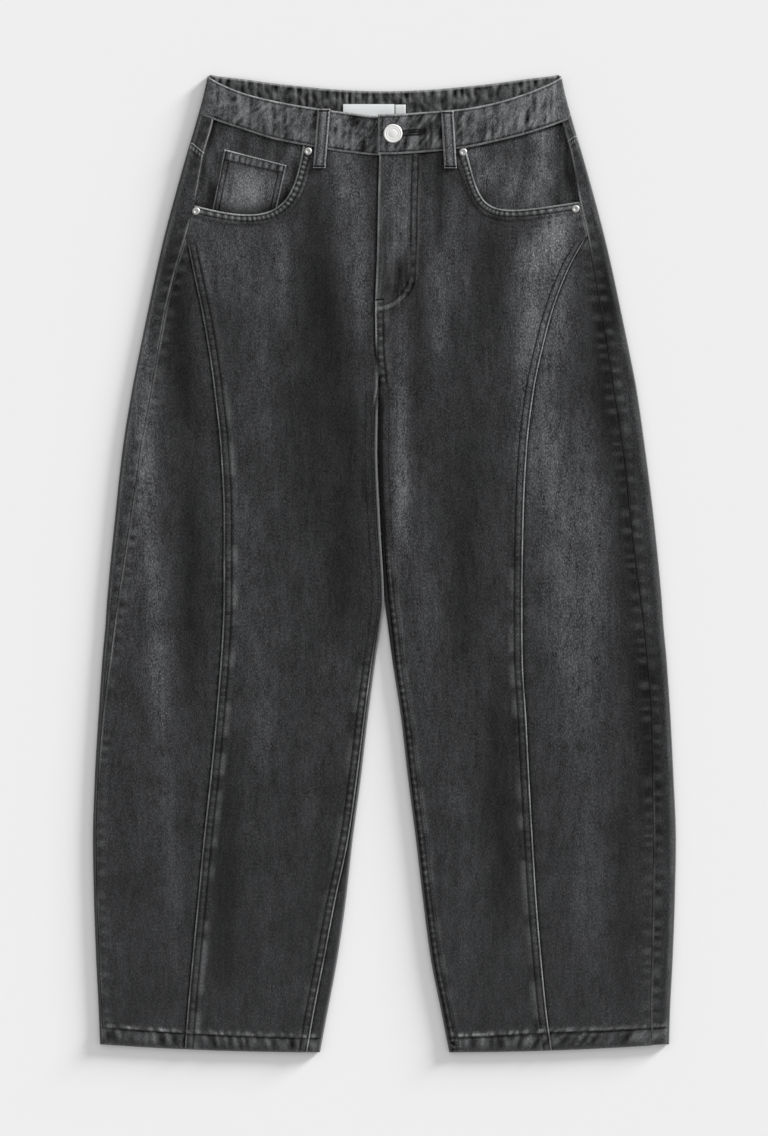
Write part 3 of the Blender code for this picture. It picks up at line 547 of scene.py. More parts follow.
def cloth(name, columns, rows, place, nodes, left_out=None, material="denim", slot="washed_denim"):
    """A thin wall of cloth on a fine grid; place(column, row) gives each of its points."""
    bm = bmesh.new()
    wear_and_shade = bm.verts.layers.float_color.new("WearAndShade")
    grain = bm.loops.layers.uv.new("Grain")
    bmesh.ops.create_grid(bm, x_segments=columns - 1, y_segments=rows - 1, size=0.5)

    def index(co):
        return round((co.x + 0.5) * (columns - 1)), round((co.y + 0.5) * (rows - 1))

    if left_out:
        bare = [f for f in bm.faces if left_out(*map(min, *(index(v.co) for v in f.verts)))]
        bmesh.ops.delete(bm, geom=bare, context="FACES")
    outer = list(bm.verts)
    wall = bmesh.ops.extrude_face_region(bm, geom=bm.faces[:], use_keep_orig=True)
    inner = [v for v in wall["geom"] if isinstance(v, bmesh.types.BMVert)]
    places = {}
    grains = {}
    for v in outer:
        at = index(v.co)
        places[at] = place(*at)
    for verts, is_outer in ((outer, True), (inner, False)):
        for v in verts:
            here = places[index(v.co)]
            v.co = here.outer if is_outer else here.inner
            # Colour values of a point: wear, darkening with painted shade, wash level with painted shade, and
            # grain strength.
            worn, groove, level_here = (here.worn, here.groove, here.wash_and_shade) if is_outer else here.inside
            v[wear_and_shade] = (worn, groove, level_here, grain_strength(level_here, v.co.y))
            grains[v] = here.grain
    for face in bm.faces:
        for loop in face.loops:
            loop[grain].uv = grains[loop.vert]
    bmesh.ops.recalc_face_normals(bm, faces=bm.faces[:])
    return finish(name, bm, material, slot, *nodes)


def spread(start, end, pitch):
    """Evenly spaced values from start to end, about a pitch apart."""
    count = max(1, round(abs(end - start) / pitch))
    return [mix(start, end, k / count) for k in range(count + 1)]


# Rows shared by every panel of a leg, from the hip to the hem
LEVEL_ROWS = spread(HIP, LAST_LEVEL_ROW, ROW_PITCH)
HEM_JOIN_STEPS = round((930.0 - LAST_LEVEL_ROW) / ROW_PITCH)
LEG_ROW_COUNT = len(LEVEL_ROWS) + HEM_JOIN_STEPS + len(HEM_SHARES) - 1


def leg_row(row, out):
    """The distance down of a leg's row, which takes the slope of the hem near it."""
    if row < len(LEVEL_ROWS):
        return LEVEL_ROWS[row]
    row -= len(LEVEL_ROWS) - 1
    edge, height = hem_line(out), hem_height(out)
    if row <= HEM_JOIN_STEPS:
        return mix(LAST_LEVEL_ROW, edge - HEM_SHARES[0] * height, row / HEM_JOIN_STEPS)
    return edge - HEM_SHARES[row - HEM_JOIN_STEPS] * height


def add(total, part):
    for k in range(3):
        total[k] += part[k]


def lap(offset, along, seed, width=LAP_WIDTH, bright=1.0, pitch=PUCKER_PITCH, rough=0.5, pale=0.0,
        blotch=0.08):
    """A folded, twice stitched edge: its rise, its worn line and its grooves."""
    if offset > width + 16:
        return (0.0, 0.0, 0.0)
    gathers = pucker(along, seed, pitch)
    swell = hump(offset - width * 0.53, width * 0.27)
    channels = hump(offset - 2.1, 0.95) + hump(offset - width + 0.9, 1.0)
    step = ease((offset + 0.5) / 1.5) * (1 - ease((offset - width + 0.5) / 7.5))
    beyond = hump(offset - width - 1.9, 2.6)
    gather = cloth_sizes.pucker / MM * rough
    rise = LAP * step - 0.35 * channels + gather * gathers * (swell + 0.4 * beyond)
    rub = 0.75 + 0.55 * wander(along, seed + 11, 14.0)
    worn = bright * hump(offset - 0.45, 0.8) * rub
    worn += (pale + 0.3 * rough * max(0.0, gathers)) * swell
    worn += blotch * (beyond + 0.3 * swell) * ease(0.5 + 1.7 * wander(along, seed + 13, 15.0))
    groove = 1.0 * channels + 0.7 * rough * max(0.0, -gathers) * swell
    return (rise, worn, groove)


def under_lap(offset, along, seed):
    """The cloth that runs under a folded edge, offset away from it, with painted shade beside the edge."""
    if offset > 20:
        return (0.0, 0.0, 0.0)
    gathers = pucker(along, seed, 13.0)
    fade = math.exp(-max(offset, 0.0) / 6.0)
    rise = 0.3 * cloth_sizes.pucker / MM * gathers * fade - 0.35 * hump(offset, 2.0)
    # A dark line at the folded edge, then painted shade that fades away from it
    groove = 0.85 * hump(offset, 1.5) + 0.14 * fade
    return (rise, 0.03 * fade * max(0.0, gathers), groove)


def plain_seam(offset, along, seed, bright=0.3, ridge=0.4, shadow=0.0, dark=0.75, spots=0.25):
    """One side of a plain seam: a valley at the seam, then a ridge with sparse blotches, and where asked a painted
    shadow band beside the seam.
    """
    if offset > 24:
        return (0.0, 0.0, 0.0)
    blotch = pucker(along, seed, 14.0)
    swell = hump(offset - 5.0, 4.5)
    rise = ridge * hump(offset - 3.0, 4.0) - 0.5 * hump(offset, 0.9)
    rise += ridge * cloth_sizes.pucker / MM * blotch * swell
    worn = bright * hump(offset - 0.9, 0.8) * (0.6 + 0.8 * wander(along, seed + 5, 26.0))
    worn += 0.07 * swell * max(0.0, blotch)
    groove = dark * hump(offset, 0.6) + spots * swell * max(0.0, -blotch)
    groove += shadow * hump(offset - 2.0, 6.5) * (0.85 + 0.18 * pucker(along, seed + 7, 17.0))
    return (rise, worn, groove)


def hem_relief(side, out, down, seed):
    """The hem: folded in and stitched once, with gathers on both sides of the stitching."""
    height = hem_height(out) + (2.0 * hump(out - 165.0, 70.0) if side == "left" else -0.4)
    above = hem_line(out) - down
    if above > height + 18:
        return (0.0, 0.0, 0.0)
    slant = 0.7 * ease((out - 100.0) / 90.0) if side == "left" else 0.15
    along = out - slant * above
    gathers = pucker(along, seed + 40, 10.5)
    creased = noise.noise(Vector((along / 5.5, above / 30.0, seed + 4.5)))
    gather = cloth_sizes.pucker / MM
    line = hump(above - height - 0.3 * wander(out, seed + 45, 9.0), 1.2)
    inside = hump(above - height * 0.55, 5.0)
    beyond = hump(above - height - 3.0, 2.2)
    rise = HEM_LAP * (1 - ease((above - height) / 1.6)) - 0.35 * line
    rise += gather * ((0.5 * gathers + 2.2 * creased) * inside - 0.6 * gathers * beyond)
    rise -= 0.9 * (1 - ease(above / 1.2)) * HEM_LAP
    near = hump(above - height + 3.0, 2.4)
    worn = 0.24 * hump(above - 0.5, 0.9) + (0.06 * max(0.0, gathers) + 0.36 * max(0.0, creased)) * inside
    worn += (0.03 + 0.16 * max(0.0, -gathers)) * beyond + 0.12 * max(0.0, gathers) * near
    worn += 0.8 * max(0.0, wander(along, seed + 46, 3.2)) * hump(above - height - 2.4, 1.2)
    return (rise, worn, 1.6 * line + (0.15 * max(0.0, -gathers) + 1.5 * max(0.0, -creased)) * inside)


def inseam(side, down):
    """The inseam, which leaves the legs' meeting line a little below the crotch."""
    leg = LEG[side]
    return mix(leg["inner"](down), leg["inseam"](down), ease((down - 307.0) / 30.0))


def inseam_shows(side, down):
    """How far the inseam's lap has come out of the fold between the legs."""
    start, run = (555.0, 60.0) if side == "right" else (458.0, 50.0)
    return ease((down - start) / run)


def front_outer_edge(side, down):
    seam = LEG[side]["side_seam"](down)
    return seam if down < SIDE_PANEL_TIP else min(seam, LEG[side]["panel_seam"](down))


def front_inner_edge(side, down):
    """The front's inner edge; the right one runs on under the fly."""
    edge = inseam(side, down)
    if side == "right":
        edge -= 4.0 * (1 - ease((down - CROTCH + 22.0) / 18.0))
    return edge


def bezier(points, t):
    """The point and the tangent of a cubic curve."""
    a, b, c, d = (Vector(p) for p in points)
    s = 1 - t
    point = a * s**3 + b * 3 * s * s * t + c * 3 * s * t * t + d * t**3
    return point, (b - a) * s * s + (c - b) * 2 * s * t + (d - c) * t * t


def corner_turn(distance):
    """How far an edge's own direction gives way to the corner's mitre near it."""
    return ease(1 - distance / 26.0)


def into_panel(side, share):
    """A point of the pocket's scoop, and the way from it into the panel."""
    corner = Vector((SCOOPS[side][3][0], band_bottom(side, SCOOPS[side][3][0])))
    point, tangent = bezier(SCOOPS[side], share)
    inward = Vector((tangent.y, -tangent.x)).normalized()
    return point, inward.lerp(Vector(MITRE), corner_turn((point - corner).length))


def front_columns(side):
    """The front panel's columns at the hip, as shares from its outer to its inner edge."""
    start, end = front_outer_edge(side, HIP), front_inner_edge(side, HIP)
    outer = [start - step for step in EDGE_STEPS]
    steps = EDGE_STEPS + (FLY_STEPS if side == "left" else ())
    inner = [end + step for step in reversed(steps)]
    corner = SCOOPS[side][3][0]
    between = spread(outer[-1], corner, 3.2)[1:] + spread(corner, inner[0], 5.0)[1:-1]
    return [(start - out) / (start - end) for out in outer + between + inner]


class FrontGrid:
    """Places of the front panel: offset from its pocket and waist edge, then level rows."""

    offsets = (0.0, 0.35, 0.8, 1.4, 2.1, 3.0, 4.0, 5.0, 6.0, 6.9, 7.7, 8.6, 10.0, 12.0)
    join_steps = 26

    def __init__(self, side):
        self.side = side
        self.shares = front_columns(side)
        start, end = front_outer_edge(side, HIP), front_inner_edge(side, HIP)
        self.corner_share = (start - SCOOPS[side][3][0]) / (start - end)
        self.columns = len(self.shares)
        self.rows = len(self.offsets) + self.join_steps + LEG_ROW_COUNT - 1
        self.edge = [self.edge_point(share) for share in self.shares]

    def edge_point(self, share):
        """A point of the upper edge, the way into the panel there, and whether it is the scoop."""
        corner = Vector(SCOOPS[self.side][3])
        corner.y = band_bottom(self.side, corner.x)
        mitre = Vector(MITRE)
        if share <= self.corner_share:
            point, tangent = bezier(SCOOPS[self.side], share / self.corner_share)
            turn = corner_turn((point - corner).length)
            inward = Vector((tangent.y, -tangent.x)).normalized()
            return point, inward.lerp(mitre, turn), True
        end = front_inner_edge(self.side, 80.0)
        out = mix(corner.x, end, (share - self.corner_share) / (1 - self.corner_share))
        point = Vector((out, band_bottom(self.side, out)))
        return point, Vector((0.0, 1.0)).lerp(mitre, corner_turn(corner.x - out)), False

    def row_ends(self, row):
        """Where an upper row would end without its shift onto the panel's edges."""
        ends = []
        for column, at_hip in ((0, front_outer_edge(self.side, HIP)), (-1, front_inner_edge(self.side, HIP))):
            point, inward, _ = self.edge[column]
            out = (point + inward * self.offsets[min(row, len(self.offsets) - 1)]).x
            step = max(0, row - len(self.offsets) + 1) / self.join_steps
            ends.append(mix(out, at_hip, step))
        return ends

    def at(self, column, row):
        """The place as (out, down), and its distance from the scoop's edge and the waist seam."""
        side, share = self.side, self.shares[column]
        if row < len(self.offsets) + self.join_steps:
            point, inward, scooped = self.edge[column]
            offset = self.offsets[min(row, len(self.offsets) - 1)]
            here = point + inward * offset
            if row >= len(self.offsets):
                start, end = front_outer_edge(side, HIP), front_inner_edge(side, HIP)
                at_hip = Vector((mix(start, end, share), HIP))
                step = (row - len(self.offsets) + 1) / self.join_steps
                here = here.lerp(at_hip, step)
                offset = 30.0
            ends = self.row_ends(row)
            here.x += (front_outer_edge(side, here.y) - ends[0]) * (1 - ease(share / 0.3))
            here.x += (front_inner_edge(side, here.y) - ends[1]) * (1 - ease((1 - share) / 0.2))
            return here.x, here.y, offset if scooped else 99.0, 99.0 if scooped else offset
        leg = row - len(self.offsets) - self.join_steps + 1
        down = leg_row(leg, 120.0)
        for _ in range(2):
            start, end = front_outer_edge(side, down), front_inner_edge(side, down)
            out = self.level_out(column, start, end)
            down = leg_row(leg, out)
        return out, down, 99.0, 99.0

    def level_out(self, column, start, end):
        """Keeps the columns near both edges at their own distances as the panel changes width."""
        outer_count = len(EDGE_STEPS)
        steps = EDGE_STEPS + (FLY_STEPS if self.side == "left" else ())
        if column < outer_count:
            return start - EDGE_STEPS[column]
        from_end = self.columns - 1 - column
        if from_end < len(steps):
            return end + steps[from_end]
        first, last = self.shares[outer_count - 1], self.shares[-len(steps)]
        return mix(start - EDGE_STEPS[-1], end + steps[-1], (self.shares[column] - first) / (last - first))


def fly_relief(out, down):
    """The fly's extra layers on the left front, with its curved double stitching."""
    across = out - LEG["left"]["inner"](down)
    below = max(0.0, down - FLY_FOOT)
    reach = math.hypot(across, below)
    inside = 1 - ease((reach - FLY_WIDTH + 1.0) / 3.5)
    if down > FLY_FOOT + FLY_WIDTH + 12:
        return (0.0, 0.0, 0.0)
    lines = hump(reach - FLY_WIDTH + 1.3, 0.95) + hump(reach - FLY_WIDTH + 7.3, 0.95)
    gathers = pucker(down, 61, 9.0)
    swell = hump(reach - FLY_WIDTH + 4.3, 2.6)
    gather = 0.5 * cloth_sizes.pucker / MM
    streak = max(0.0, noise.noise(Vector((across / 3.0, down / 42.0, 31.0))))
    blotch = max(0.0, noise.noise(Vector((across / 9.0, down / 13.0, 33.0)))) * ease((down - 150.0) / 40.0)
    rise = FLY_RISE * inside - 0.35 * lines + gather * gathers * swell
    foot = hump(reach - FLY_WIDTH + 4.3, 3.6) * ease((down - 215.0) / 16.0)
    worn = inside * 0.18 * streak + 0.10 * swell * max(0.0, gathers) + 0.12 * foot
    groove = mix(0.85, 1.6, ease((down - 165.0) / 40.0)) * lines
    groove += inside * (0.9 * blotch + 0.25 * swell * max(0.0, -gathers))
    return (rise, worn, groove + 0.35 * hump(reach - FLY_WIDTH - 1.5, 2.5))


def front_relief(side, out, down, scoop, waist):
    """Every sewn feature of the front panel at a place."""
    total = [0.0, 0.0, 0.0]
    outer = front_outer_edge(side, down) - out
    inner = out - front_inner_edge(side, down)
    seed = 1 if side == "right" else 2
    if down > SIDE_PANEL_TIP:
        fade = ease((down - SIDE_PANEL_TIP) / 14.0)
        bright = mix(0.3, 0.58 if side == "right" else 0.5, ease((down - 200.0) / 130.0))
        bright *= 1 - 0.45 * ease((down - 925.0) / 35.0)
        low = ease((down - (280.0 if side == "right" else 440.0)) / 90.0)
        sewn = lap(outer, down, seed, bright=bright, rough=0.2, blotch=mix(0.03, 0.14, low))
        add(total, [fade * v for v in sewn])
    else:
        add(total, plain_seam(outer, down, seed, bright=0.3))
    if scoop < 29:
        add(total, (0.25 * ease(scoop / 8.0) - 0.45, 0.0, 0.0))
    if waist < 29:
        gathers = pucker(out, seed + 30, 9.5)
        fade = math.exp(-waist / 7.0)
        shade = 0.95 * hump(waist - 0.2, 1.4) * (1 + 0.3 * gathers)
        add(total, (0.3 * gathers * fade - 0.4 * hump(waist, 1.2), 0.0, shade))
    if side == "left" and down < FLY_FOOT + FLY_WIDTH + 12:
        add(total, fly_relief(out, down))
    shows = inseam_shows(side, down)
    if side == "left":
        felled = ease((down - FLY_FOOT - 24.0) / 8.0) * (1 - ease((down - CROTCH + 10.0) / 14.0))
        shows = max(shows, felled)
    if shows:
        if side == "right":
            sewn = lap(inner, down, seed + 6, bright=0.42)
        else:
            low = ease((down - CROTCH) / 150.0)
            bright = mix(0.45 * (1 - ease((down - 258.0) / 24.0)), 0.15, low)
            sewn = lap(inner + 1.9 * low, down, seed + 6, mix(LAP_WIDTH, 7.7, low), bright=bright)
        add(total, [shows * v for v in sewn])
    # Where the legs lie closed together: painted shade along the inner edges, deepest on the left front, and a
    # pale line on the right front's edge.
    closed = ease((down - CROTCH + 26.0) / 24.0) * (1 - inseam_shows(side, down))
    if side == "right":
        rub = 0.32 * closed * (1 - ease((down - CROTCH - 4.0) / 16.0))
        add(total, (0.0, rub * hump(out - inseam(side, down) - 1.0, 1.2), 0.1 * closed * hump(inner, 3.0)))
    else:
        add(total, (0.0, 0.0, 0.9 * closed * hump(inner - 0.3, 2.3)))
    if side == "left" and down < CROTCH:
        rub = (0.8 + 0.5 * wander(down, 71, 13.0)) * (1 - ease((down - 258.0) / 24.0))
        drop = -0.9 * (1 - ease(inner / 1.3))
        add(total, (drop, 0.75 * hump(inner - 0.8, 0.95) * rub, 0.0))
    # Where the right front runs in under the fly it drops, with painted shade over it.
    if side == "right" and down < CROTCH:
        under = out - inseam(side, down)
        tucked = 1 - ease((down - CROTCH + 40.0) / 26.0)
        add(total, (-0.7 * tucked * (1 - ease(under / 3.0)), 0.0, tucked * (1 - ease((under + 0.3) / 3.4))))
    add(total, hem_relief(side, out, down, seed))
    total[2] += loop_shadow(side, out, down)
    return total


def front_panel(side):
    grid = FrontGrid(side)
    wall = cloth_sizes.wall / MM

    def place(column, row):
        out, down, scoop, waist = grid.at(column, row)
        rise, worn, groove = front_relief(side, out, down, scoop, waist)
        base = top_height(side, out, down)
        fly = fly_relief(out, down)[0] if side == "left" else 0.0
        height = base + rise
        inner = min(height - 0.8 * wall, base + 0.55 * fly - wall)
        return between(side, out, down, height, inner, worn, groove)

    return cloth(f"front_{side}", grid.columns, grid.rows, place, (f"front_panel_{side}",))


def pocket_hem(side):
    """The scoop's folded, twice stitched edge, a strip on the front panel."""
    offsets = (-0.35, 0.0, 0.5, 1.1, 1.7, 2.3, 3.0, 3.8, 4.6, 5.3, 5.9, 6.5, 7.2, 8.0, 9.2, 10.6)
    columns = 118
    seed = 21 if side == "right" else 22

    def place(column, row):
        share = column / (columns - 1)
        point, inward = into_panel(side, share)
        offset = offsets[row]
        here = point + inward * offset
        rise, worn, groove = lap(offset, share * 152.0, seed, POCKET_LAP_WIDTH,
                                  bright=0.62, pitch=5.6, rough=1.0, pale=0.07)
        here.x = min(here.x, LEG[side]["side_seam"](here.y) - 0.2)
        height = top_height(side, here.x, here.y) + rise + 0.1 - 0.7 * ease((offset - 9.0) / 1.5)
        return between(side, here.x, here.y, height, height - 0.45, worn, groove)

    return cloth(f"pocket_hem_{side}", columns, len(offsets), place, ())


def side_panel(side):
    """The narrow panel; its inner edge runs under the front's folded edge."""
    leg = LEG[side]
    tuck = 1.6
    wall = cloth_sizes.wall / MM
    count = 34
    shares = [0.5 - 0.5 * math.cos(math.pi * k / (count - 1)) for k in range(count)]
    shares = [mix(k / (count - 1), share, 0.75) for k, share in enumerate(shares)]
    lead = [SIDE_PANEL_TIP + 0.5, *spread(SIDE_PANEL_TIP + 2.0, HIP, ROW_PITCH)[:-1]]
    seed = 1 if side == "right" else 2

    def place(column, row):
        share = shares[column]
        down = lead[row] if row < len(lead) else leg_row(row - len(lead), 220.0)
        for _ in range(2):
            start, end = leg["side_seam"](down), leg["panel_seam"](down) - tuck
            out = mix(start, end, share)
            if row >= len(lead):
                down = leg_row(row - len(lead), out)
        total = [0.0, 0.0, 0.0]
        from_lap = out - leg["panel_seam"](down)
        add(total, under_lap(from_lap, down, seed))
        if side == "left":
            shade = 0.5 * ease((down - 150.0) / 60.0) * (1 - ease((down - 640.0) / 110.0))
            sewn = {"ridge": 0.05, "bright": 0.0, "shadow": shade, "spots": 0.03}
        else:
            low = ease((down - 400.0) / 60.0) * (1 - ease((down - 640.0) / 60.0))
            # A painted shade patch below the hip: the seam's side is darker there and its rubbed line dimmed.
            patch = hump(down - 208.0, 26.0)
            bright = 0.55 * (1 - 0.55 * ease((down - 600.0) / 120.0)) * (1 - 0.85 * patch)
            sewn = {"bright": bright, "spots": mix(0.25, 0.7, low), "shadow": 0.45 * patch}
        add(total, plain_seam(start - out, down, seed + 8, **sewn))
        add(total, hem_relief(side, out, down, seed + 2))
        base = top_height(side, out, down)
        tucked = 0.55 * (1 - ease((from_lap + 0.4) / 1.6))
        height = base + total[0] - tucked
        return between(side, out, down, height, height - wall, total[1], total[2])

    return cloth(f"side_{side}", count, len(lead) + LEG_ROW_COUNT, place, (f"side_panel_{side}",))


def inner_shadow(side, down):
    """The dark between the legs, above where they part."""
    if side == "right":
        return 0.4 * (1 - ease((down - 470.0) / 60.0))
    return 0.9 * (1 - ease((down - 480.0) / 60.0))


# The back's columns: the strip on top, the outer fold, the underside, the inner fold, its strip
STRIP_COUNT = 15
FLAT_COUNT = 16
INNER_COUNT = 6
FLAT_START = STRIP_COUNT + len(FOLD_ANGLES)
INNER_START = FLAT_START + FLAT_COUNT - 1
INNER_ANGLES = tuple(reversed(FOLD_ANGLES[:-1])) + (90.0,)
BACK_COLUMNS = INNER_START + 1 + len(INNER_ANGLES) + INNER_COUNT


def round_fold(side, edge, inward, down, angle, top, bottom, wall):
    """A point of a fold whose outermost line is at edge: its outer and its inner surface."""
    c, s = math.cos(math.radians(angle)), math.sin(math.radians(angle))
    middle, half = (top + bottom) / 2, (top - bottom) / 2
    centre = edge + inward * FOLD_RUN
    return (
        spot(side, centre - inward * FOLD_RUN * c, down, middle + half * s),
        spot(side, centre - inward * (FOLD_RUN - wall) * c, down, middle + (half - wall) * s),
    )


def strip_share(column):
    """The strip's columns lie closer together at the seam."""
    share = column / (STRIP_COUNT - 1)
    return mix(share, share * share, 0.45)


def strip_bright(side, down):
    """How rubbed the back's edge is along the side seam on top of the garment."""
    if side == "right":
        return mix(0.5, 0.0, ease((down - 170.0) / 200.0))
    return mix(0.85, 0.06, ease((down - 140.0) / 50.0)) + 0.26 * ease((down - 660.0) / 100.0)


def back_place(side, column, down, seam_relief=True):
    """A place of the back layer at one of its columns."""
    leg = LEG[side]
    wall = cloth_sizes.wall / MM
    edge, inner = leg["outline"](down), leg["inner"](down)
    seed = 3 if side == "right" else 4
    grain_at = (column * 5.0 * MM, down * MM)
    if column < STRIP_COUNT or column > INNER_START + len(INNER_ANGLES):
        if column < STRIP_COUNT:
            start = leg["side_seam"](down)
            out = mix(start, edge - FOLD_RUN, strip_share(column))
            from_seam, fade = out - start, 1 - ease(strip_share(column) * 1.6 - 0.6)
        else:
            start = inseam(side, down) + 1.5
            share = (column - INNER_START - len(INNER_ANGLES)) / INNER_COUNT
            out = mix(inner + FOLD_RUN, start, share)
            from_seam, fade = start - out - 1.5, ease(share * 2)
        total = [0.0, 0.0, 0.0]
        if seam_relief:
            if column < STRIP_COUNT:
                spots = 0.25 + (0.35 * ease((down - 640.0) / 60.0) if side == "left" else 0.0)
                ridge = 0.3 if side == "right" else 0.08
                bright = strip_bright(side, down)
                sewn = plain_seam(from_seam, down, seed, bright, ridge, dark=0.9, spots=spots)
            else:
                sewn = under_lap(from_seam, down, seed)
            add(total, [fade * v for v in sewn])
        hem = hem_relief(side, out, down, seed)
        add(total, hem)
        height = top_height(side, out, down) + total[0]
        if column >= STRIP_COUNT:
            height -= 0.5 * (1 - ease((from_seam + 0.4) / 1.6))
            total[2] += inner_shadow(side, down)
        rub = 0.2 * ease((strip_share(column) - 0.75) * 4) if column < STRIP_COUNT else 0.0
        rub *= 0.6 + 0.5 * wander(down, seed + 17, 24.0)
        return between(side, out, down, height, height - wall, total[1] + rub, total[2])
    if column < FLAT_START:
        angle = FOLD_ANGLES[column - STRIP_COUNT]
        hem = hem_relief(side, edge, down, seed)
        outer, inside = round_fold(side, edge, -1, down, angle, edge_top(down) + hem[0], 0.0, wall)
        worn = 0.2 * hump(angle - 20.0, 45.0)
        return Place(outer, inside, grain_at, worn, 0.0, wash_and_shade(side, edge, down))
    if column <= INNER_START:
        below = down > CROTCH - 4
        end = inner + (FOLD_RUN if below else 0.0)
        out = mix(edge - FOLD_RUN, end, (column - FLAT_START + 1) / FLAT_COUNT)
        lift = seat_lift(side, out, down)
        return between(side, out, down, lift, lift + wall)
    angle = INNER_ANGLES[column - INNER_START - 1]
    hem = hem_relief(side, max(inner, 62.0), down, seed)
    outer, inside = round_fold(side, inner, 1, down, angle, inner_top(side, down) + hem[0], 0.0, wall)
    rubbed = ease((down - 560.0) / 60.0) if side == "left" else ease((down - CROTCH - 10.0) / 20.0)
    worn = 0.24 * hump(angle - 35.0, 40.0) * rubbed
    return Place(outer, inside, grain_at, worn, inner_shadow(side, down), wash_and_shade(side, inner, down))


def yoke_line(side, column):
    """The yoke seam's distance down at one of the back's columns."""
    front, fold, centre = YOKE_SEAM[side]
    if column < STRIP_COUNT:
        return mix(front, fold, strip_share(column))
    if column < FLAT_START:
        return fold
    return mix(fold, centre, (min(column, INNER_START) - FLAT_START + 1) / FLAT_COUNT)


def yoke_top(side, column):
    """The waistband seam's distance down at one of the back's columns."""
    if column < STRIP_COUNT:
        return band_bottom(side, mix(LEG[side]["side_seam"](45.0), BAND_FOLD, strip_share(column)))
    back = back_band_top(BAND_FOLD) + BACK_BAND_HEIGHT
    if column < FLAT_START:
        share = (90.0 - FOLD_ANGLES[column - STRIP_COUNT]) / 180.0
        return mix(band_bottom(side, BAND_FOLD), back, share)
    out = mix(BAND_FOLD, LEG[side]["inner"](60.0), (column - FLAT_START + 1) / FLAT_COUNT)
    return back_band_top(out) + BACK_BAND_HEIGHT


def sew(here, relief):
    """Adds a seam's relief to a place on top of the garment."""
    here.outer.z += relief[0] * MM
    here.worn += relief[1]
    here.groove += relief[2]
    return here


def yoke(side):
    steps = (0.0, 0.02, 0.05, 0.1, 0.18, 0.28, 0.4, 0.52, 0.64, 0.74, 0.82, 0.88, 0.93, 0.97, 1.0)

    def place(column, row):
        top, seam = yoke_top(side, column) - 0.5, yoke_line(side, column) + 1.2
        down = mix(top, seam, steps[row])
        here = back_place(side, column, down)
        if column < FLAT_START:
            gathers = pucker(column * 2.0, 51, 9.0)
            sew(here, (-0.35 * hump(down - top, 1.4), 0.0, 0.9 * hump(down - top, 1.5)))
            sew(here, (-0.4 * hump(seam - down, 1.3) + 0.15 * gathers * hump(seam - down - 5, 4),
                       0.1 * max(0.0, gathers) * hump(seam - down - 6, 4), 1.1 * hump(seam - down, 1.8)))
        return here

    return cloth(f"yoke_piece_{side}", INNER_START + 1, len(steps), place, (f"yoke_{side}",))


def back_panel(side):
    """The back of one leg, from the yoke seam round both folds to the hem."""
    lead = [0.0, 0.7, 1.6, 2.6, 4.0, 5.6, 7.2, 8.4, 9.6, 11.5]
    join = 40
    first = len(lead) + join

    def down_at(column, row):
        seam = yoke_line(side, min(column, INNER_START))
        if row < len(lead):
            return seam + lead[row]
        if row < first:
            return mix(seam + lead[-1], HIP, (row - len(lead) + 1) / join)
        out = 200.0
        for _ in range(2):
            down = leg_row(row - first + 1, out)
            out = back_out(side, column, down)
        return down

    def place(column, row):
        down = down_at(column, row)
        here = back_place(side, column, down)
        if row < first and column < FLAT_START:
            offset = down - yoke_line(side, column)
            sew(here, lap(offset, column * 2.0, 52, 8.5, bright=0.7, rough=0.8, pale=0.06))
        return here

    rows = first + LEG_ROW_COUNT - 1
    crotch = next(k for k in range(rows) if down_at(FLAT_START, k) > CROTCH - 4)
    return cloth(f"back_{side}", BACK_COLUMNS, rows, place, (f"back_panel_{side}",),
                 left_out=lambda column, row: column >= INNER_START and row < crotch)


def back_out(side, column, down):
    """How far out one of the back's columns lies, for the slope of the hem."""
    leg = LEG[side]
    if column < FLAT_START:
        return leg["outline"](down) - FOLD_RUN
    share = min(1.0, (column - FLAT_START + 1) / FLAT_COUNT)
    return mix(leg["outline"](down), leg["inner"](down), share)


BAND_SHARES = (0.0, 0.008, 0.02, 0.036, 0.056, 0.07, 0.085, 0.105, 0.14, 0.18, 0.23, 0.28, 0.33, 0.38, 0.43,
               0.466, 0.506, 0.55, 0.6, 0.65, 0.7, 0.75, 0.8, 0.85, 0.89, 0.912, 0.93, 0.947, 0.965, 0.98,
               0.992, 1.0)
SLIT_ROW = BAND_SHARES.index(0.466)
SLIT = (9.0, 35.0)
BAND_PITCH = 1.7
BAND_RUN = 0.039


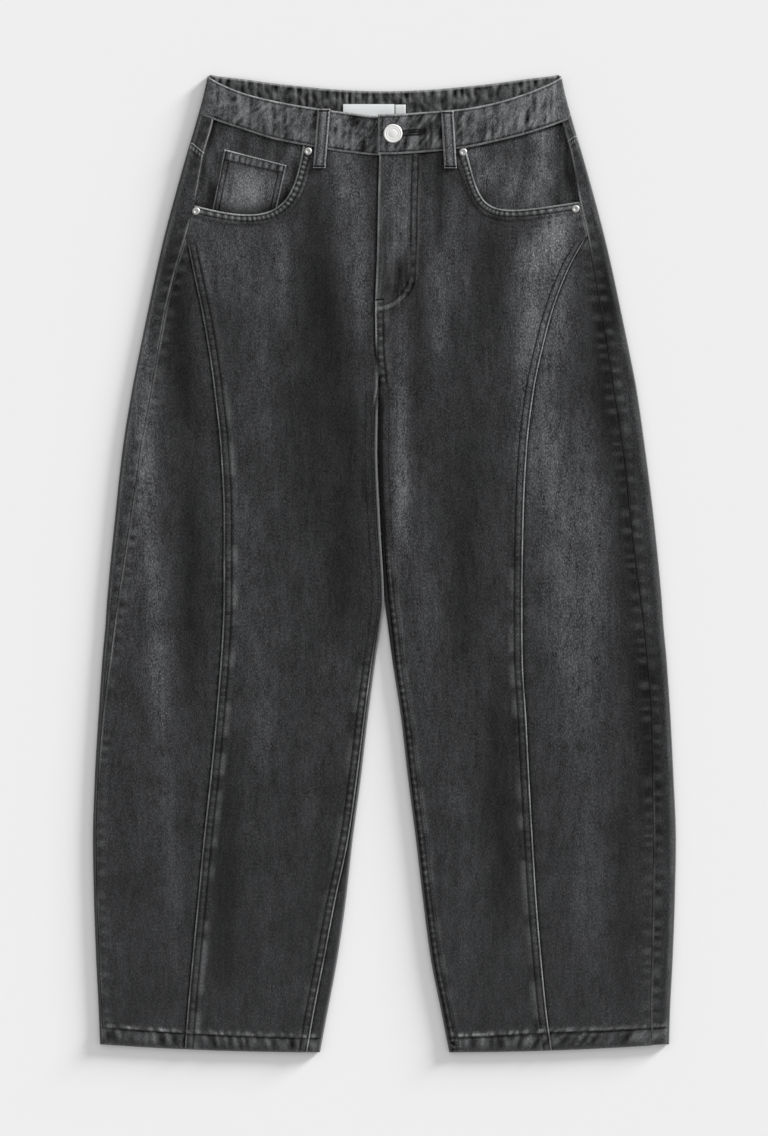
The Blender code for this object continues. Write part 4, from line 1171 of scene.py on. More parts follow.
def band_relief(along, share, seed, height=39.0):
    """The waistband: rolled, rubbed edges, slanting puckers and stitching near both edges."""
    top, foot = share * height, (1 - share) * height
    slant = along + 0.55 * share * height
    gathers = pucker(slant, seed, 10.5) * (0.5 + 0.9 * wander(along + 9 * share, seed + 4, 17.0))
    mottle = 0.7 * noise.noise(Vector((slant / 8.0, top / 12.0, seed)))
    mottle += 0.9 * noise.noise(Vector((slant / 3.4, top / 7.0, seed)))
    rib = noise.noise(Vector((along / 3.2, top / 26.0, seed + 0.5)))
    gather = cloth_sizes.pucker / MM
    belly = ease(top / 6.0) * ease(foot / 5.0)
    rolls = (1 - ease(top / 1.3)) + (1 - ease(foot / 1.3))
    near_foot = hump(foot - 7.0, 6.0)
    near_top = hump(top - 5.5, 4.5)
    lines = 1.15 * hump(foot - 2.7, 0.8) + 0.9 * hump(top - 2.9, 0.8)
    rise = gather * gathers * (0.35 * belly + 0.7 * near_foot + 0.4 * near_top) - 0.7 * rolls - 0.3 * lines
    rise += 0.45 * gather * mottle * belly
    rub = 0.8 + 0.55 * wander(along, seed + 9, 11.0)
    worn = rub * (0.6 * hump(top - 0.7, 0.9) + 0.55 * hump(foot - 0.7, 0.85))
    worn += 0.13 * max(0.0, gathers) * (near_foot + near_top)
    worn += (0.34 * max(0.0, mottle) + 0.36 * max(0.0, rib)) * belly
    groove = 0.85 * lines + (0.95 * max(0.0, -mottle) + 1.0 * max(0.0, -rib)) * belly
    groove += 0.25 * max(0.0, -gathers) * (near_foot + near_top)
    return (rise, worn, groove)


def loop_shadow(side, out, down):
    """Painted shadow right beside a front belt loop."""
    (top_out, top_down), (foot_out, foot_down) = FRONT_LOOPS[side]
    share = (down - top_down) / (foot_down - top_down)
    if not -0.05 < share < 1.08:
        return 0.0
    edge = abs(out - mix(top_out, foot_out, share)) - LOOP_WIDTH / 2
    below = max(0.0, (share - 1.0) * (foot_down - top_down))
    return 0.6 * hump(max(0.0, edge), 2.0) * hump(below, 2.0)


def overlap_rise(side, out):
    """How much the left front of the band stands on the underlap."""
    return BAND_STEP * (1 - ease((out - OVERLAP_FLAT) / OVERLAP_FADE)) if side == "left" else 0.0


def waistband():
    """The waistband in one strip: underlap, right front, back, left front with its buttonhole."""
    right = spread(-UNDERLAP, BAND_FRONT_END, BAND_PITCH)
    slit = spread(SLIT[0], SLIT[1], 1.8)
    left = spread(OVERLAP_END, SLIT[0], 1.6)[:-1] + slit + spread(SLIT[1], BAND_FRONT_END, BAND_PITCH)[1:]
    back = spread(BAND_BACK_END, 0.0, BAND_PITCH)
    stops = [("right", "front", out) for out in right]
    stops += [("right", "fold", angle) for angle in (90.0, *FOLD_ANGLES)]
    stops += [("right", "back", out) for out in back]
    stops += [("left", "back", out) for out in back[-2::-1]]
    stops += [("left", "fold", angle) for angle in (*reversed(FOLD_ANGLES), 90.0)]
    stops += [("left", "front", out) for out in left[::-1]]
    ends = [stops.index(("left", "front", at)) for at in SLIT]

    def place(column, row):
        side, kind, value = stops[column]
        share = BAND_SHARES[row]
        from_top = share * BACK_BAND_HEIGHT
        if kind == "fold":
            top = mix(band_top(side, 175.0), back_band_top(175.0), (90.0 - value) / 180.0)
            back_foot = back_band_top(BAND_FOLD) + BACK_BAND_HEIGHT
            foot = mix(band_bottom(side, BAND_FOLD), back_foot, (90.0 - value) / 180.0)
            down = mix(top, foot, share)
            outer, inner = round_fold(side, LEG[side]["outline"](down), -1, down, value,
                                      EDGE_TOP_WAIST, 0.0, BAND_WALL)
            worn = 0.5 * hump(from_top - 0.7, 0.95) + 0.08
            grain = (SIGN[side] * (0.184 - value * 2e-5), share * BAND_RUN)
            return Place(outer, inner, grain, worn, 0.0, level(66.0), inside=(0.1, 0.3, 0.9))
        along = SIGN[side] * value
        if kind == "back":
            down = back_band_top(value) + share * BACK_BAND_HEIGHT
            lift = seat_lift(side, value, down)
            near = 0.35 + 0.65 * hump(from_top - 6.0, 7.0)
            gathers = pucker(along + 60.0 + 6 * wander(along, 86, 20.0), 83, 8.6) * near
            streaks = noise.noise(Vector((along / 4.0, share * 6.0, 84.0)))
            ribs = ease(from_top / 3.0) * cloth_sizes.pucker / MM * (0.9 * gathers + 0.5 * streaks)
            roll = 0.8 * (1 - ease(from_top / 1.3))
            blot = noise.noise(Vector((along / 3.6, share * 4.5, 88.0)))
            worn = 0.34 * hump(from_top - 0.9, 1.1) + 0.2 * max(0.0, gathers) + 0.26 * max(0.0, streaks)
            dark = 0.6 * max(0.0, -gathers) + 0.9 * max(0.0, -streaks) + 0.9 * max(0.0, -blot)
            inside = (worn + 0.34 * max(0.0, blot), dark + 0.7 * hump(from_top - 3.4, 0.8),
                      level((47.0 if side == "right" else 51.0) + 8.0 * wander(along, 87, 40.0)))
            top = lift + BAND_WALL + ribs - roll
            return Place(spot(side, value, down, lift), spot(side, value, down, top),
                         (along * MM, share * BAND_RUN), inside=inside)
        down = mix(band_top(side, value), band_bottom(side, value), share)
        rise, worn, groove = band_relief(along, share, 81 if side == "right" else 82)
        height = top_height(side, value, down) + overlap_rise(side, value)
        if side == "left":
            end = 1 - ease((value - OVERLAP_END) / 1.4)
            rise -= 0.9 * end
            worn += 0.55 * hump(value + 5.6, 0.9)
        groove += loop_shadow(side, value, down)
        if side == "left":
            beyond = max(0.0, SLIT[0] - value, value - SLIT[1])
            groove += 0.3 * (hump(beyond, 2.0) * hump(from_top - 19.0, 3.2))
        tone = (74.0 if side == "right" else 80.0) + 9.0 * wander(along, 85, 30.0)
        if side == "left":
            tone += 8.0 * hump(value - 122.0, 18.0) - 38.0 * hump(value - 50.0, 25.0)
            tone += 12.0 * hump(value + 2.0, 11.0) + 14.0 * hump(value - 178.0, 12.0)
        else:
            tone += (12.0 * hump(value - 50.0, 14.0) - 5.0 * hump(value - 120.0, 30.0)
                     + 10.0 * hump(value - 172.0, 16.0))
        return Place(spot(side, value, down, height + rise), spot(side, value, down, height - BAND_WALL),
                     (along * MM, share * BAND_RUN), worn, groove, level(tone))

    return cloth("waistband_piece", len(stops), len(BAND_SHARES), place, ("waistband",),
                 left_out=lambda column, row: row == SLIT_ROW and min(ends) <= column < max(ends))


def pocket_facing(side):
    """The denim seen behind the pocket's scoop."""
    steps = 46
    tuck = 4.0
    reach = 12.0

    def lower(share):
        point, tangent = bezier(SCOOPS[side], share)
        point += Vector((tangent.y, -tangent.x)).normalized() * reach
        point.x = min(point.x, LEG[side]["side_seam"](point.y) + tuck)
        return point

    def place(column, row):
        across, along = column / (steps - 1), row / (steps - 1)
        foot = lower(across)
        start = LEG[side]["side_seam"](48.0) + 1.0
        out = mix(start, lower(1.0).x, across)
        point = Vector((out, band_bottom(side, out) - tuck)).lerp(foot, along)
        first = mix(start, lower(0.0).x, along)
        point.x += (LEG[side]["side_seam"](point.y) + 1.3 - first) * (1 - ease(across / 0.35))
        height = top_height(side, point.x, point.y) - 2.6
        height += 0.35 * noise.noise(Vector((point.x / 12.0, point.y / 30.0, 41.0)))
        tone = 69.0 if side == "left" else 62.0
        tone += 26.0 * noise.noise(Vector((point.x / 15.0, point.y / 22.0, 43.0)))
        if side == "left":
            tone += 18.0 * hump(point.x - 151.0, 11.0) * hump(point.y - 104.0, 30.0)
            tone += 24.0 * hump(point.x - 172.0, 18.0) * hump(point.y - 58.0, 16.0)
            tone -= 16.0 * hump(point.x - 181.0, 11.0) * hump(point.y - 104.0, 26.0)
        else:
            tone += 10.0 * hump(point.x - 185.0, 10.0) * hump(point.y - 108.0, 16.0)
        streak = max(0.0, noise.noise(Vector((point.x / 4.0, point.y / 24.0, 45.0))))
        near_edge = hump(max(0.0, (foot - point).length - reach), 7.0)
        corner = ease((124.0 - point.x) / 30.0)
        from_seam = LEG[side]["side_seam"](point.y) - point.x
        shade = near_edge * ((0.3 if side == "left" else 0.6) + 0.5 * corner)
        shade += 0.8 * hump(point.y - band_bottom(side, point.x) - 0.5, 2.2)
        shade += 0.75 * hump(from_seam - 2.2, 2.6)
        if side == "right":
            shade += 0.85 * hump(point.x - 173.0, 7.0) * hump(point.y - 116.0, 17.0)
        else:
            shade += 0.5 * hump(from_seam - 10.0, 7.0)
        return between(side, point.x, point.y, height, height - 1.0, 0.10 * streak, shade, level(tone))

    return cloth(f"facing_{side}", steps, steps, place, (f"pocket_facing_{side}",))


def scoop_shadow(side, point):
    """The dark on the cloth right inside the pocket's scoop."""
    gap = min((bezier(SCOOPS[side], k / 40)[0] - point).length for k in range(41))
    return hump(gap, 9.0)


def coin_pocket():
    """The small pocket on the right facing, with a stitched hem and stitched sides."""
    corners = [Vector(corner) for corner in COIN_POCKET]
    width, length = (corners[0] - corners[1]).length, (corners[0] - corners[3]).length
    edges, middle = spread(0.0, 9.0, 0.6), spread(9.0, width - 9.0, 2.0)
    across = [at / width for at in edges + middle[1:-1] + [width - edge for edge in reversed(edges)]]
    along = [at / length for at in spread(0.0, 13.0, 0.65) + spread(13.0, length, 1.8)[1:]]

    def place(column, row):
        u, v = across[column], along[row]
        point = corners[0].lerp(corners[1], u).lerp(corners[3].lerp(corners[2], u), v)
        edge, top = min(u, 1 - u) * width, v * length
        gathers = pucker(u * width, 91, 7.5)
        hem = 1 - ease((top - 11.0) / 1.5)
        rolls = (1 - ease(edge / 1.1)) + (1 - ease(top / 1.1))
        lines = hump(edge - COIN_ROWS[0], 0.7) + hump(edge - COIN_ROWS[1], 0.7) * (1 - hem) + hump(top - 10.6, 0.7)
        height = top_height("right", point.x, point.y) - 1.6 + 0.5 * hem - 0.6 * rolls - 0.25 * lines
        height += 0.3 * gathers * hump(top - 6.0, 4.0)
        rub = 0.75 + 0.5 * wander(u * 60 + v * 80, 92, 10.0)
        worn = rub * (0.62 * hump(top - 0.6, 0.9) + 0.42 * hump(edge - 0.6, 0.8))
        worn += (0.3 * max(0.0, gathers) * hump(top - 6.0, 3.4)
                 + 0.12 * hump(u - 0.5, 0.3) * hump(v - 0.6, 0.35))
        tone = 68.0 + 30.0 * hump(u - 0.45, 0.3) * hump(v - 0.52, 0.32)
        tone += 16.0 * noise.noise(Vector((point.x / 13.0, point.y / 16.0, 47.0)))
        groove = lines + 0.8 * max(0.0, -gathers) * hump(top - 6.0, 3.4) + 1.1 * scoop_shadow("right", point)
        return between("right", point.x, point.y, height, height - 0.9, worn, groove, level(tone))

    return cloth("coin_pocket_piece", len(across), len(along), place, ("coin_pocket",))


def back_pocket(side):
    """A patch pocket with a pointed foot, flat under the seat."""
    steps = 18

    def place(column, row):
        across, along = column / steps, row / steps
        taper = 5.0 * along * (1 - 2 * across)
        out = mix(40.0, 165.0, across) + taper
        foot = mix(268.0, 252.0, abs(2 * across - 1))
        down = mix(mix(138.0, 134.0, across), foot, along)
        edge = min(across, 1 - across) * 125.0
        worn = 0.5 * hump(edge - 0.6, 2.5) + 0.5 * hump(along * 120.0 - 1.0, 3.0)
        return between(side, out, down, 0.0, 0.95, worn)

    return cloth(f"back_pocket_piece_{side}", steps + 1, steps + 1, place, (f"back_pocket_{side}",))


LOOP_SHARES = (0.0, 0.03, 0.08, 0.14, 0.2, 0.28, 0.38, 0.5, 0.62, 0.72, 0.8, 0.86, 0.92, 0.97, 1.0)


def front_loop(side):
    """A folded belt loop on the front of the waistband."""
    (top_out, top_down), (foot_out, foot_down) = FRONT_LOOPS[side]
    rows = 44

    def place(column, row):
        across, along = LOOP_SHARES[column], row / (rows - 1)
        length = (foot_down - top_down) * along
        out = mix(top_out, foot_out, along) + LOOP_WIDTH * (0.5 - across)
        down = mix(top_down, foot_down, along)
        edge = min(across, 1 - across) * LOOP_WIDTH
        ends = min(length, foot_down - top_down - length)
        lines = hump(edge - 2.7, 0.7)
        middle = hump(across - 0.5, 0.2)
        gathers = pucker(length, 95, 7.0)
        seat = top_height(side, out, down) + overlap_rise(side, out) + 0.35
        arch = 0.5 * ease(ends / 9.0)
        height = seat + 1.35 + arch + 0.35 * middle - 0.75 * (1 - ease(edge / 1.1)) - 0.3 * lines
        height += 0.16 * gathers - 0.5 * (1 - ease(ends / 1.5))
        rub = 0.8 + 0.5 * wander(length + 40 * across, 96, 9.0)
        worn = rub * (0.62 * hump(edge - 0.6, 0.8) + 0.3 * middle) + 0.5 * hump(ends - 0.5, 0.9)
        return Place(spot(side, out, down, height), spot(side, out, down, seat + 0.1 + 0.8 * arch),
                     (across * 0.0125, down * MM), worn, 0.8 * lines, level(78.0))

    return cloth(f"loop_front_{side}", len(LOOP_SHARES), rows, place, (f"belt_loop_front_{side}",))


def back_loop(name, across_at):
    """A belt loop flat under the back of the waistband."""
    top = back_band_top(across_at) + 0.8

    def place(column, row):
        across = LOOP_SHARES[column]
        x = across_at + LOOP_WIDTH * (across - 0.5)
        down = mix(top, top + BACK_BAND_HEIGHT + 12.0, row / 12)
        edge = min(across, 1 - across) * LOOP_WIDTH
        worn, groove = 0.6 * hump(edge - 0.5, 0.9), 0.4 * hump(edge - 2.7, 0.7)
        return between("left", x, down, 0.0, 0.95, worn, groove, 1.3)

    return cloth(f"loop_back_{name}", len(LOOP_SHARES), 13, place, (f"belt_loop_back_{name}",))


def turned(name, profile, centre, steps, nodes, material="metal"):
    """A round metal piece: (radius, height) points spun about a vertical axis."""
    bm = bmesh.new()
    line = [bm.verts.new((radius * MM, 0, height * MM)) for radius, height in profile]
    edges = [bm.edges.new(pair) for pair in zip(line, line[1:])]
    bmesh.ops.spin(bm, geom=line + edges, cent=(0, 0, 0), axis=(0, 0, 1), angle=2 * math.pi,
                   steps=steps, use_merge=True)
    bmesh.ops.remove_doubles(bm, verts=bm.verts[:], dist=1e-6)
    bmesh.ops.translate(bm, verts=bm.verts[:], vec=centre)
    bmesh.ops.recalc_face_normals(bm, faces=bm.faces[:])
    return finish(name, bm, material, "nickel", *nodes)


def button():
    """The fly button: a rim, a groove, a ring and a low dome on a post."""
    out, down = BUTTON_AT
    seat = top_height("left", out, down)
    band = BAND_STEP
    profile = (
        (0.0, 0.3), (1.25, 0.3), (1.25, band + 0.5), (8.9, band + 0.5), (9.25, band + 0.75),
        (9.35, band + 1.2), (9.2, band + 1.7), (8.8, band + 2.05), (8.2, band + 2.15),
        (7.7, band + 2.1), (7.35, band + 1.93), (7.1, band + 1.85), (6.8, band + 1.9),
        (6.4, band + 2.02), (6.0, band + 2.08), (5.5, band + 2.05), (5.2, band + 1.95),
        (4.9, band + 1.9), (4.4, band + 1.98), (3.4, band + 2.15), (1.8, band + 2.3), (0.0, band + 2.35),
    )
    return turned("fly_button", profile, spot("left", out, down, seat), 72, ("button",))


def rivet(name, side, out, down):
    """A domed rivet cap with a dimple in its middle."""
    profile = (
        (0.0, 0.0), (3.4, 0.0), (3.75, 0.2), (3.8, 0.5), (3.6, 0.85), (3.1, 1.15), (2.5, 1.3),
        (1.9, 1.25), (1.45, 1.0), (1.1, 0.75), (0.6, 0.7), (0.0, 0.72),
    )
    base = top_height(side, out, down) + LAP + 0.35
    return turned(f"cap_{name}", profile, spot(side, out, down, base), 40, (name,), "cap")


def zip_height(x, down):
    """The top of the zip's solid, under both fronts."""
    return top_height("left" if x > 0 else "right", abs(x), down) - cloth_sizes.wall / MM - 0.3


def zip_tapes():
    """The closed zip's two tapes, which meet under the teeth."""
    columns, rows = 21, 60

    def place(column, row):
        x, down = mix(ZIP_OUTER, ZIP_INNER, column / (columns - 1)), mix(ZIP_TOP, ZIP_FOOT, row / (rows - 1))
        beside = abs(x - (ZIP_OUTER + ZIP_INNER) / 2)
        height = zip_height(x, down) - 0.55 - 0.12 * hump(beside, 0.5) + 0.1 * hump(beside - 4.4, 0.8)
        return between("left", x, down, height, height - 0.5, wash_and_shade_level=1.0)

    return cloth("zip_tapes", columns, rows, place, ("zip",), material="tape", slot="zip_tape")


def zip_teeth():
    """Two rows of teeth in each other's gaps, with a slider at their top."""
    bm = bmesh.new()
    middle = (ZIP_OUTER + ZIP_INNER) / 2
    for k, down in enumerate(spread(ZIP_TOP + 9.0, ZIP_FOOT - 4.0, TOOTH_PITCH / 2)):
        x = middle + (0.8 if k % 2 else -0.8)
        place = Matrix.Translation(spot("left", x, down, zip_height(x, down) - 0.3))
        shape = Matrix.Diagonal((2.6 * MM, 0.62 * MM, 0.44 * MM, 1.0))
        bmesh.ops.create_cube(bm, size=1.0, matrix=place @ shape)
    for width, length, at in ((7.0, 8.0, 5.0), (3.6, 11.0, 15.0)):
        down = ZIP_TOP + at
        place = Matrix.Translation(spot("left", middle, down, zip_height(middle, down) - 0.22))
        shape = Matrix.Diagonal((width * MM, length * MM, 0.4 * MM, 1.0))
        slab = bmesh.ops.create_cube(bm, size=1.0, matrix=place @ shape)
        edges = {edge for vert in slab["verts"] for edge in vert.link_edges}
        bmesh.ops.bevel(bm, geom=list(edges), offset=0.15 * MM, segments=2, affect="EDGES")
    return finish("zip_teeth", bm, "cap", "nickel")


def label(name, low, high, top, foot, node_name):
    """A blank woven label standing up from inside the back waistband."""
    columns, rows = 14, 9

    def place(column, row):
        u, v = column / (columns - 1), row / (rows - 1)
        x, down = mix(low, high, u), mix(top, foot, v)
        edge = min(u, 1 - u) * (high - low)
        height = SEAT_LIFT + BAND_WALL + 0.45 + 0.5 * (1 - v) + 0.12 * wander(x, 97, 9.0)
        height -= 0.25 * (1 - ease(edge / 0.8)) + 0.3 * (1 - ease(v * (foot - top) / 1.0))
        return between("left", x, down, height + 0.7, height, wash_and_shade_level=1.0)

    return cloth(name, columns, rows, place, (node_name,), material="label", slot="label_satin")


class Surface:
    """The top of some finished pieces, found by dropping onto them."""

    def __init__(self, *names):
        graph = bpy.context.evaluated_depsgraph_get()
        self.trees = [BVHTree.FromObject(bpy.data.objects[name], graph) for name in names]

    def drop(self, x, y):
        """The height of the topmost cloth at a place in metres, or none."""
        hits = [tree.ray_cast(Vector((x, y, 0.1)), Vector((0, 0, -1)))[0] for tree in self.trees]
        heights = [hit.z for hit in hits if hit is not None]
        return max(heights) if heights else None


def sew_run(bm, surface, side, points, pitch=STITCH_PITCH, length=STITCH_LENGTH, thread=THREAD, turn=0.0):
    """Stitches along (out, down) points, each laid on the cloth under it."""
    line = [Vector((SIGN[side] * out, LENGTH / 2 - down)) * MM for out, down in points]
    carried, step = 0.0, pitch * MM
    for start, end in zip(line, line[1:]):
        span = (end - start).length
        if span == 0:
            continue
        direction = (end - start) / span
        while carried < span:
            middle = start + direction * carried
            lay_stitch(bm, surface, middle, direction, length, thread, turn)
            carried += step
        carried -= span


def lay_stitch(bm, surface, middle, direction, length, thread, turn=0.0):
    """One stitch: a slim rounded bead between two holes."""
    half = direction * (length * 0.5 * MM)
    ends = [surface.drop(*(middle + half)), surface.drop(*(middle - half)), surface.drop(*middle)]
    if None in ends:
        return
    rise = math.atan2(ends[0] - ends[1], 2 * half.length)
    angle = math.atan2(direction.y, direction.x) + turn
    height = max(ends[2], (ends[0] + ends[1]) / 2) + 0.05 * MM
    place = Matrix.Translation((middle.x, middle.y, height)) @ Matrix.Rotation(angle, 4, "Z")
    place = place @ Matrix.Rotation(-rise, 4, "Y")
    shape = Matrix.Diagonal((length * 0.56 * MM, thread * MM, thread * 0.75 * MM, 1.0))
    bmesh.ops.create_icosphere(bm, subdivisions=1, radius=1.0, matrix=place @ shape)


def stitches(name, surface, runs):
    """One piece of thread for a group of stitched lines: (side, points, settings)."""
    bm = bmesh.new()
    for side, points, settings in runs:
        sew_run(bm, surface, side, points, **settings)
    return finish(name, bm, "thread", "washed_denim")


def line_of(curve, offset, start, end, step=12.0):
    """Points along one of a leg's seams, at an offset from it."""
    return [(curve(down) + offset, down) for down in spread(start, end, step)]


def scoop_line(side, offset, start=0.02, end=0.985):
    """Points along a pocket's scoop, at an offset into the panel."""
    points = []
    for t in spread(start, end, 0.03):
        point, inward = into_panel(side, t)
        place = point + inward * offset
        points.append((place.x, place.y))
    return points


def fly_line(reach):
    """The fly's curved line of stitching, at a distance from its edge."""
    inner = LEG["left"]["inner"]
    points = [(inner(down) + reach, down) for down in spread(band_bottom("left", 30.0) + 1.5, FLY_FOOT, 6.0)]
    for angle in spread(0.0, 84.0, 7.0):
        down = FLY_FOOT + reach * math.sin(math.radians(angle))
        points.append((inner(down) + reach * math.cos(math.radians(angle)), down))
    return points


def seam_stitching(side):
    """The double topstitching of the curved seam, the inseam, the scoop and the yoke, and the hem's line."""
    leg = LEG[side]
    surface = Surface(*(f"{name}_{side}" for name in ("front", "side", "back", "yoke_piece", "pocket_hem")))
    plain = {}
    runs = []
    for offset in (1.9, LAP_WIDTH - 0.9):
        runs.append((side, line_of(leg["panel_seam"], -offset, SIDE_PANEL_TIP + 6, LENGTH - 10), plain))
        start = CROTCH + 4 if side == "right" else FLY_FOOT + FLY_WIDTH + 2
        runs.append((side, line_of(leg["inseam"], offset, start, LENGTH - 2), plain))
    for offset in (1.9, POCKET_LAP_WIDTH - 0.9):
        runs.append((side, scoop_line(side, offset), plain))
    for offset in (1.9, 7.6):
        yoke_points = [(leg["side_seam"](YOKE_SEAM[side][0]) + 1.5, YOKE_SEAM[side][0] + offset),
                       (leg["outline"](YOKE_SEAM[side][1]) - 2.0, YOKE_SEAM[side][1] + offset)]
        runs.append((side, yoke_points, plain))
    start, end = leg["inner"](960.0) + 3.0, leg["outline"](955.0) - 2.5
    runs.append((side, [(out, hem_line(out) - hem_height(out)) for out in spread(start, end, 8.0)], plain))
    if side == "left":
        runs += [(side, fly_line(FLY_WIDTH - 1.3), plain), (side, fly_line(FLY_WIDTH - 7.3), plain)]
    return stitches(f"topstitching_{side}", surface, runs)


def band_stitching():
    """The lines along the waistband's foot and down both edges of its fronts."""
    surface = Surface("waistband_piece")
    runs = []
    for side, low in (("right", 6.5), ("left", -4.2)):
        foot = [(out, band_bottom(side, out) - 2.6) for out in spread(low, 178.0, 6.0)]
        runs.append((side, foot, {}))
    end = [(-3.9, mix(band_top("left", 0), band_bottom("left", 0), share)) for share in (0.05, 0.93)]
    runs.append(("left", end, {}))
    return stitches("topstitching_waistband", surface, runs)


def buttonhole():
    """The buttonhole's close overcast stitches, round its slit."""
    surface = Surface("waistband_piece")
    bm = bmesh.new()
    height = (BAND_SHARES[SLIT_ROW] + BAND_SHARES[SLIT_ROW + 1]) / 2
    reach = 2.3
    for edge in (-1, 1):
        for out in spread(SLIT[0] + 6.5, SLIT[1] + 0.5, 0.75):
            down = mix(band_top("left", out), band_bottom("left", out), height) + edge * reach
            middle = Vector((out, LENGTH / 2 - down)) * MM
            lay_stitch(bm, surface, middle, Vector((0.12, 1.0)).normalized(), 2.6, 0.36)
    for angle in spread(-80.0, 80.0, 18.0):
        centre_down = mix(band_top("left", SLIT[1]), band_bottom("left", SLIT[1]), height)
        c, s = math.cos(math.radians(angle)), math.sin(math.radians(angle))
        middle = Vector((SLIT[1] + 0.6 + 2.3 * c, LENGTH / 2 - centre_down + 2.3 * s)) * MM
        lay_stitch(bm, surface, middle, Vector((c, s)), 2.6, 0.4)
    return finish("buttonhole_stitching", bm, "thread", "washed_denim")


def bar_tack(bm, surface, side, start, end, width=1.9, pitch=0.6):
    """A dense zigzag of thread between two places."""
    line = (Vector(end) - Vector(start))
    across = Vector((line.y, -line.x)).normalized()
    for share in spread(0.0, 1.0, pitch / line.length):
        out, down = Vector(start).lerp(Vector(end), share)
        middle = Vector((SIGN[side] * out, LENGTH / 2 - down)) * MM
        direction = Vector((SIGN[side] * across.x, -across.y))
        lay_stitch(bm, surface, middle, direction.normalized(), width, 0.38)


def loop_stitching():
    """Stitching and bar tacks of the belt loops, the coin pocket and the fly."""
    bm = bmesh.new()
    for side in SIDES:
        surface = Surface(f"loop_front_{side}", f"front_{side}", "waistband_piece")
        (top_out, top_down), (foot_out, foot_down) = FRONT_LOOPS[side]
        for edge in (-1, 1):
            offset = edge * (LOOP_WIDTH / 2 - 2.7)
            points = [(top_out + offset, top_down + 2.0), (foot_out + offset, foot_down - 2.0)]
            sew_run(bm, surface, side, points)
        for out, down in ((top_out, top_down + 2.0), (foot_out, foot_down - 1.8)):
            bar_tack(bm, surface, side, (out - 5.4, down), (out + 5.4, down))
    pocket = Surface("coin_pocket_piece")
    corners = [Vector(corner) for corner in COIN_POCKET]
    for top in (1.8, 10.6):
        share = top / (corners[0] - corners[3]).length
        ends = [corners[0].lerp(corners[3], share), corners[1].lerp(corners[2], share)]
        sew_run(bm, pocket, "right", [tuple(p) for p in ends])
    for edge in COIN_ROWS:
        share = edge / (corners[0] - corners[1]).length
        for u in (share, 1 - share):
            ends = [corners[0].lerp(corners[1], u), corners[3].lerp(corners[2], u)]
            sew_run(bm, pocket, "right", [tuple(p) for p in ends])
    fly = Surface("front_left", "front_right")
    inner = LEG["left"]["inner"](225.0)
    bar_tack(bm, fly, "left", (inner + 0.8, 225.0), (inner + 9.0, 224.5))
    bar_tack(bm, fly, "left", (57.7, 84.0), (57.7, 88.0), 1.2)
    return finish("loop_and_tack_stitching", bm, "thread", "washed_denim")


# Each cloth piece's cut: its flat width and length, its area, what it lies on, what is sewn on it
Cut = namedtuple("Cut", "width length area lies_on sewn_on")
CUTS = {
    "front_right": Cut(0.200, 0.910, 0.1350, "back_right", ("pocket_hem_right",)),
    "front_left": Cut(0.215, 0.907, 0.1230, "back_left", ("pocket_hem_left",)),
    "side_right": Cut(0.132, 0.815, 0.0735, "back_right", ()),
    "side_left": Cut(0.134, 0.816, 0.0835, "back_left", ()),
    "back_right": Cut(0.312, 0.910, 0.2366, "floor", ()),
    "back_left": Cut(0.325, 0.918, 0.2492, "floor", ()),
    "yoke_piece_right": Cut(0.192, 0.093, 0.0108, "floor", ()),
    "yoke_piece_left": Cut(0.200, 0.093, 0.0103, "floor", ()),
    "waistband_piece": Cut(0.041, 0.820, 0.0316, "front_right", ()),
    "facing_right": Cut(0.126, 0.112, 0.0101, "back_right", ()),
    "facing_left": Cut(0.130, 0.105, 0.0099, "back_left", ()),
    "coin_pocket_piece": Cut(0.064, 0.077, 0.0044, "facing_right", ()),
    "back_pocket_piece_right": Cut(0.126, 0.134, 0.0150, "floor", ()),
    "back_pocket_piece_left": Cut(0.126, 0.134, 0.0150, "floor", ()),
    "loop_front_right": Cut(0.0125, 0.0595, 0.0007, "waistband_piece", ()),
    "loop_front_left": Cut(0.0125, 0.0580, 0.0007, "waistband_piece", ()),
    "loop_back_right": Cut(0.0125, 0.0515, 0.0006, "floor", ()),
    "loop_back_centre": Cut(0.0125, 0.0515, 0.0006, "floor", ()),
    "loop_back_left": Cut(0.0125, 0.0515, 0.0006, "floor", ()),
    "label_piece": Cut(0.0512, 0.0246, None, "waistband_piece", ()),
    "size_tab_piece": Cut(0.0104, 0.0121, None, "waistband_piece", ()),
    "zip_tapes": Cut(0.0290, 0.1420, None, "front_right", ("zip_teeth",)),
}


def declare_cuts():
    """Reads each cloth piece's cut and does nothing with it."""
    for name, cut in CUTS.items():
        list(cut.sewn_on)


class Nodes:
    """Builds a shader tree with short calls."""

    def __init__(self, tree):
        self.tree = tree

    def add(self, kind, values=(), **settings):
        made = self.tree.nodes.new(f"ShaderNode{kind}")
        for name, value in settings.items():
            setattr(made, name, value)
        for name, value in dict(values).items():
            if isinstance(value, bpy.types.NodeSocket):
                self.tree.links.new(value, made.inputs[name])
            else:
                made.inputs[name].default_value = value
        return made

    def maths(self, operation, *values, clamp=False):
        return self.add("Math", dict(enumerate(values)), operation=operation, use_clamp=clamp).outputs[0]

    def blend(self, share, a, b, kind="MIX"):
        made = self.add("Mix", {"Factor": share}, data_type="RGBA", blend_type=kind, clamp_factor=True)
        colour_inputs = [s for s in made.inputs if s.type == "RGBA"]
        for socket, value in zip(colour_inputs, (a, b)):
            if isinstance(value, bpy.types.NodeSocket):
                self.tree.links.new(value, socket)
            else:
                socket.default_value = value
        return next(s for s in made.outputs if s.type == "RGBA")


def tint(n, shader, dye, shade):
    """Makes a shaded colour the surface's base colour."""
    made = n.add("VectorMath", {0: dye, "Scale": shade}, operation="SCALE").outputs[0]
    n.tree.links.new(made, shader.inputs["Base Color"])


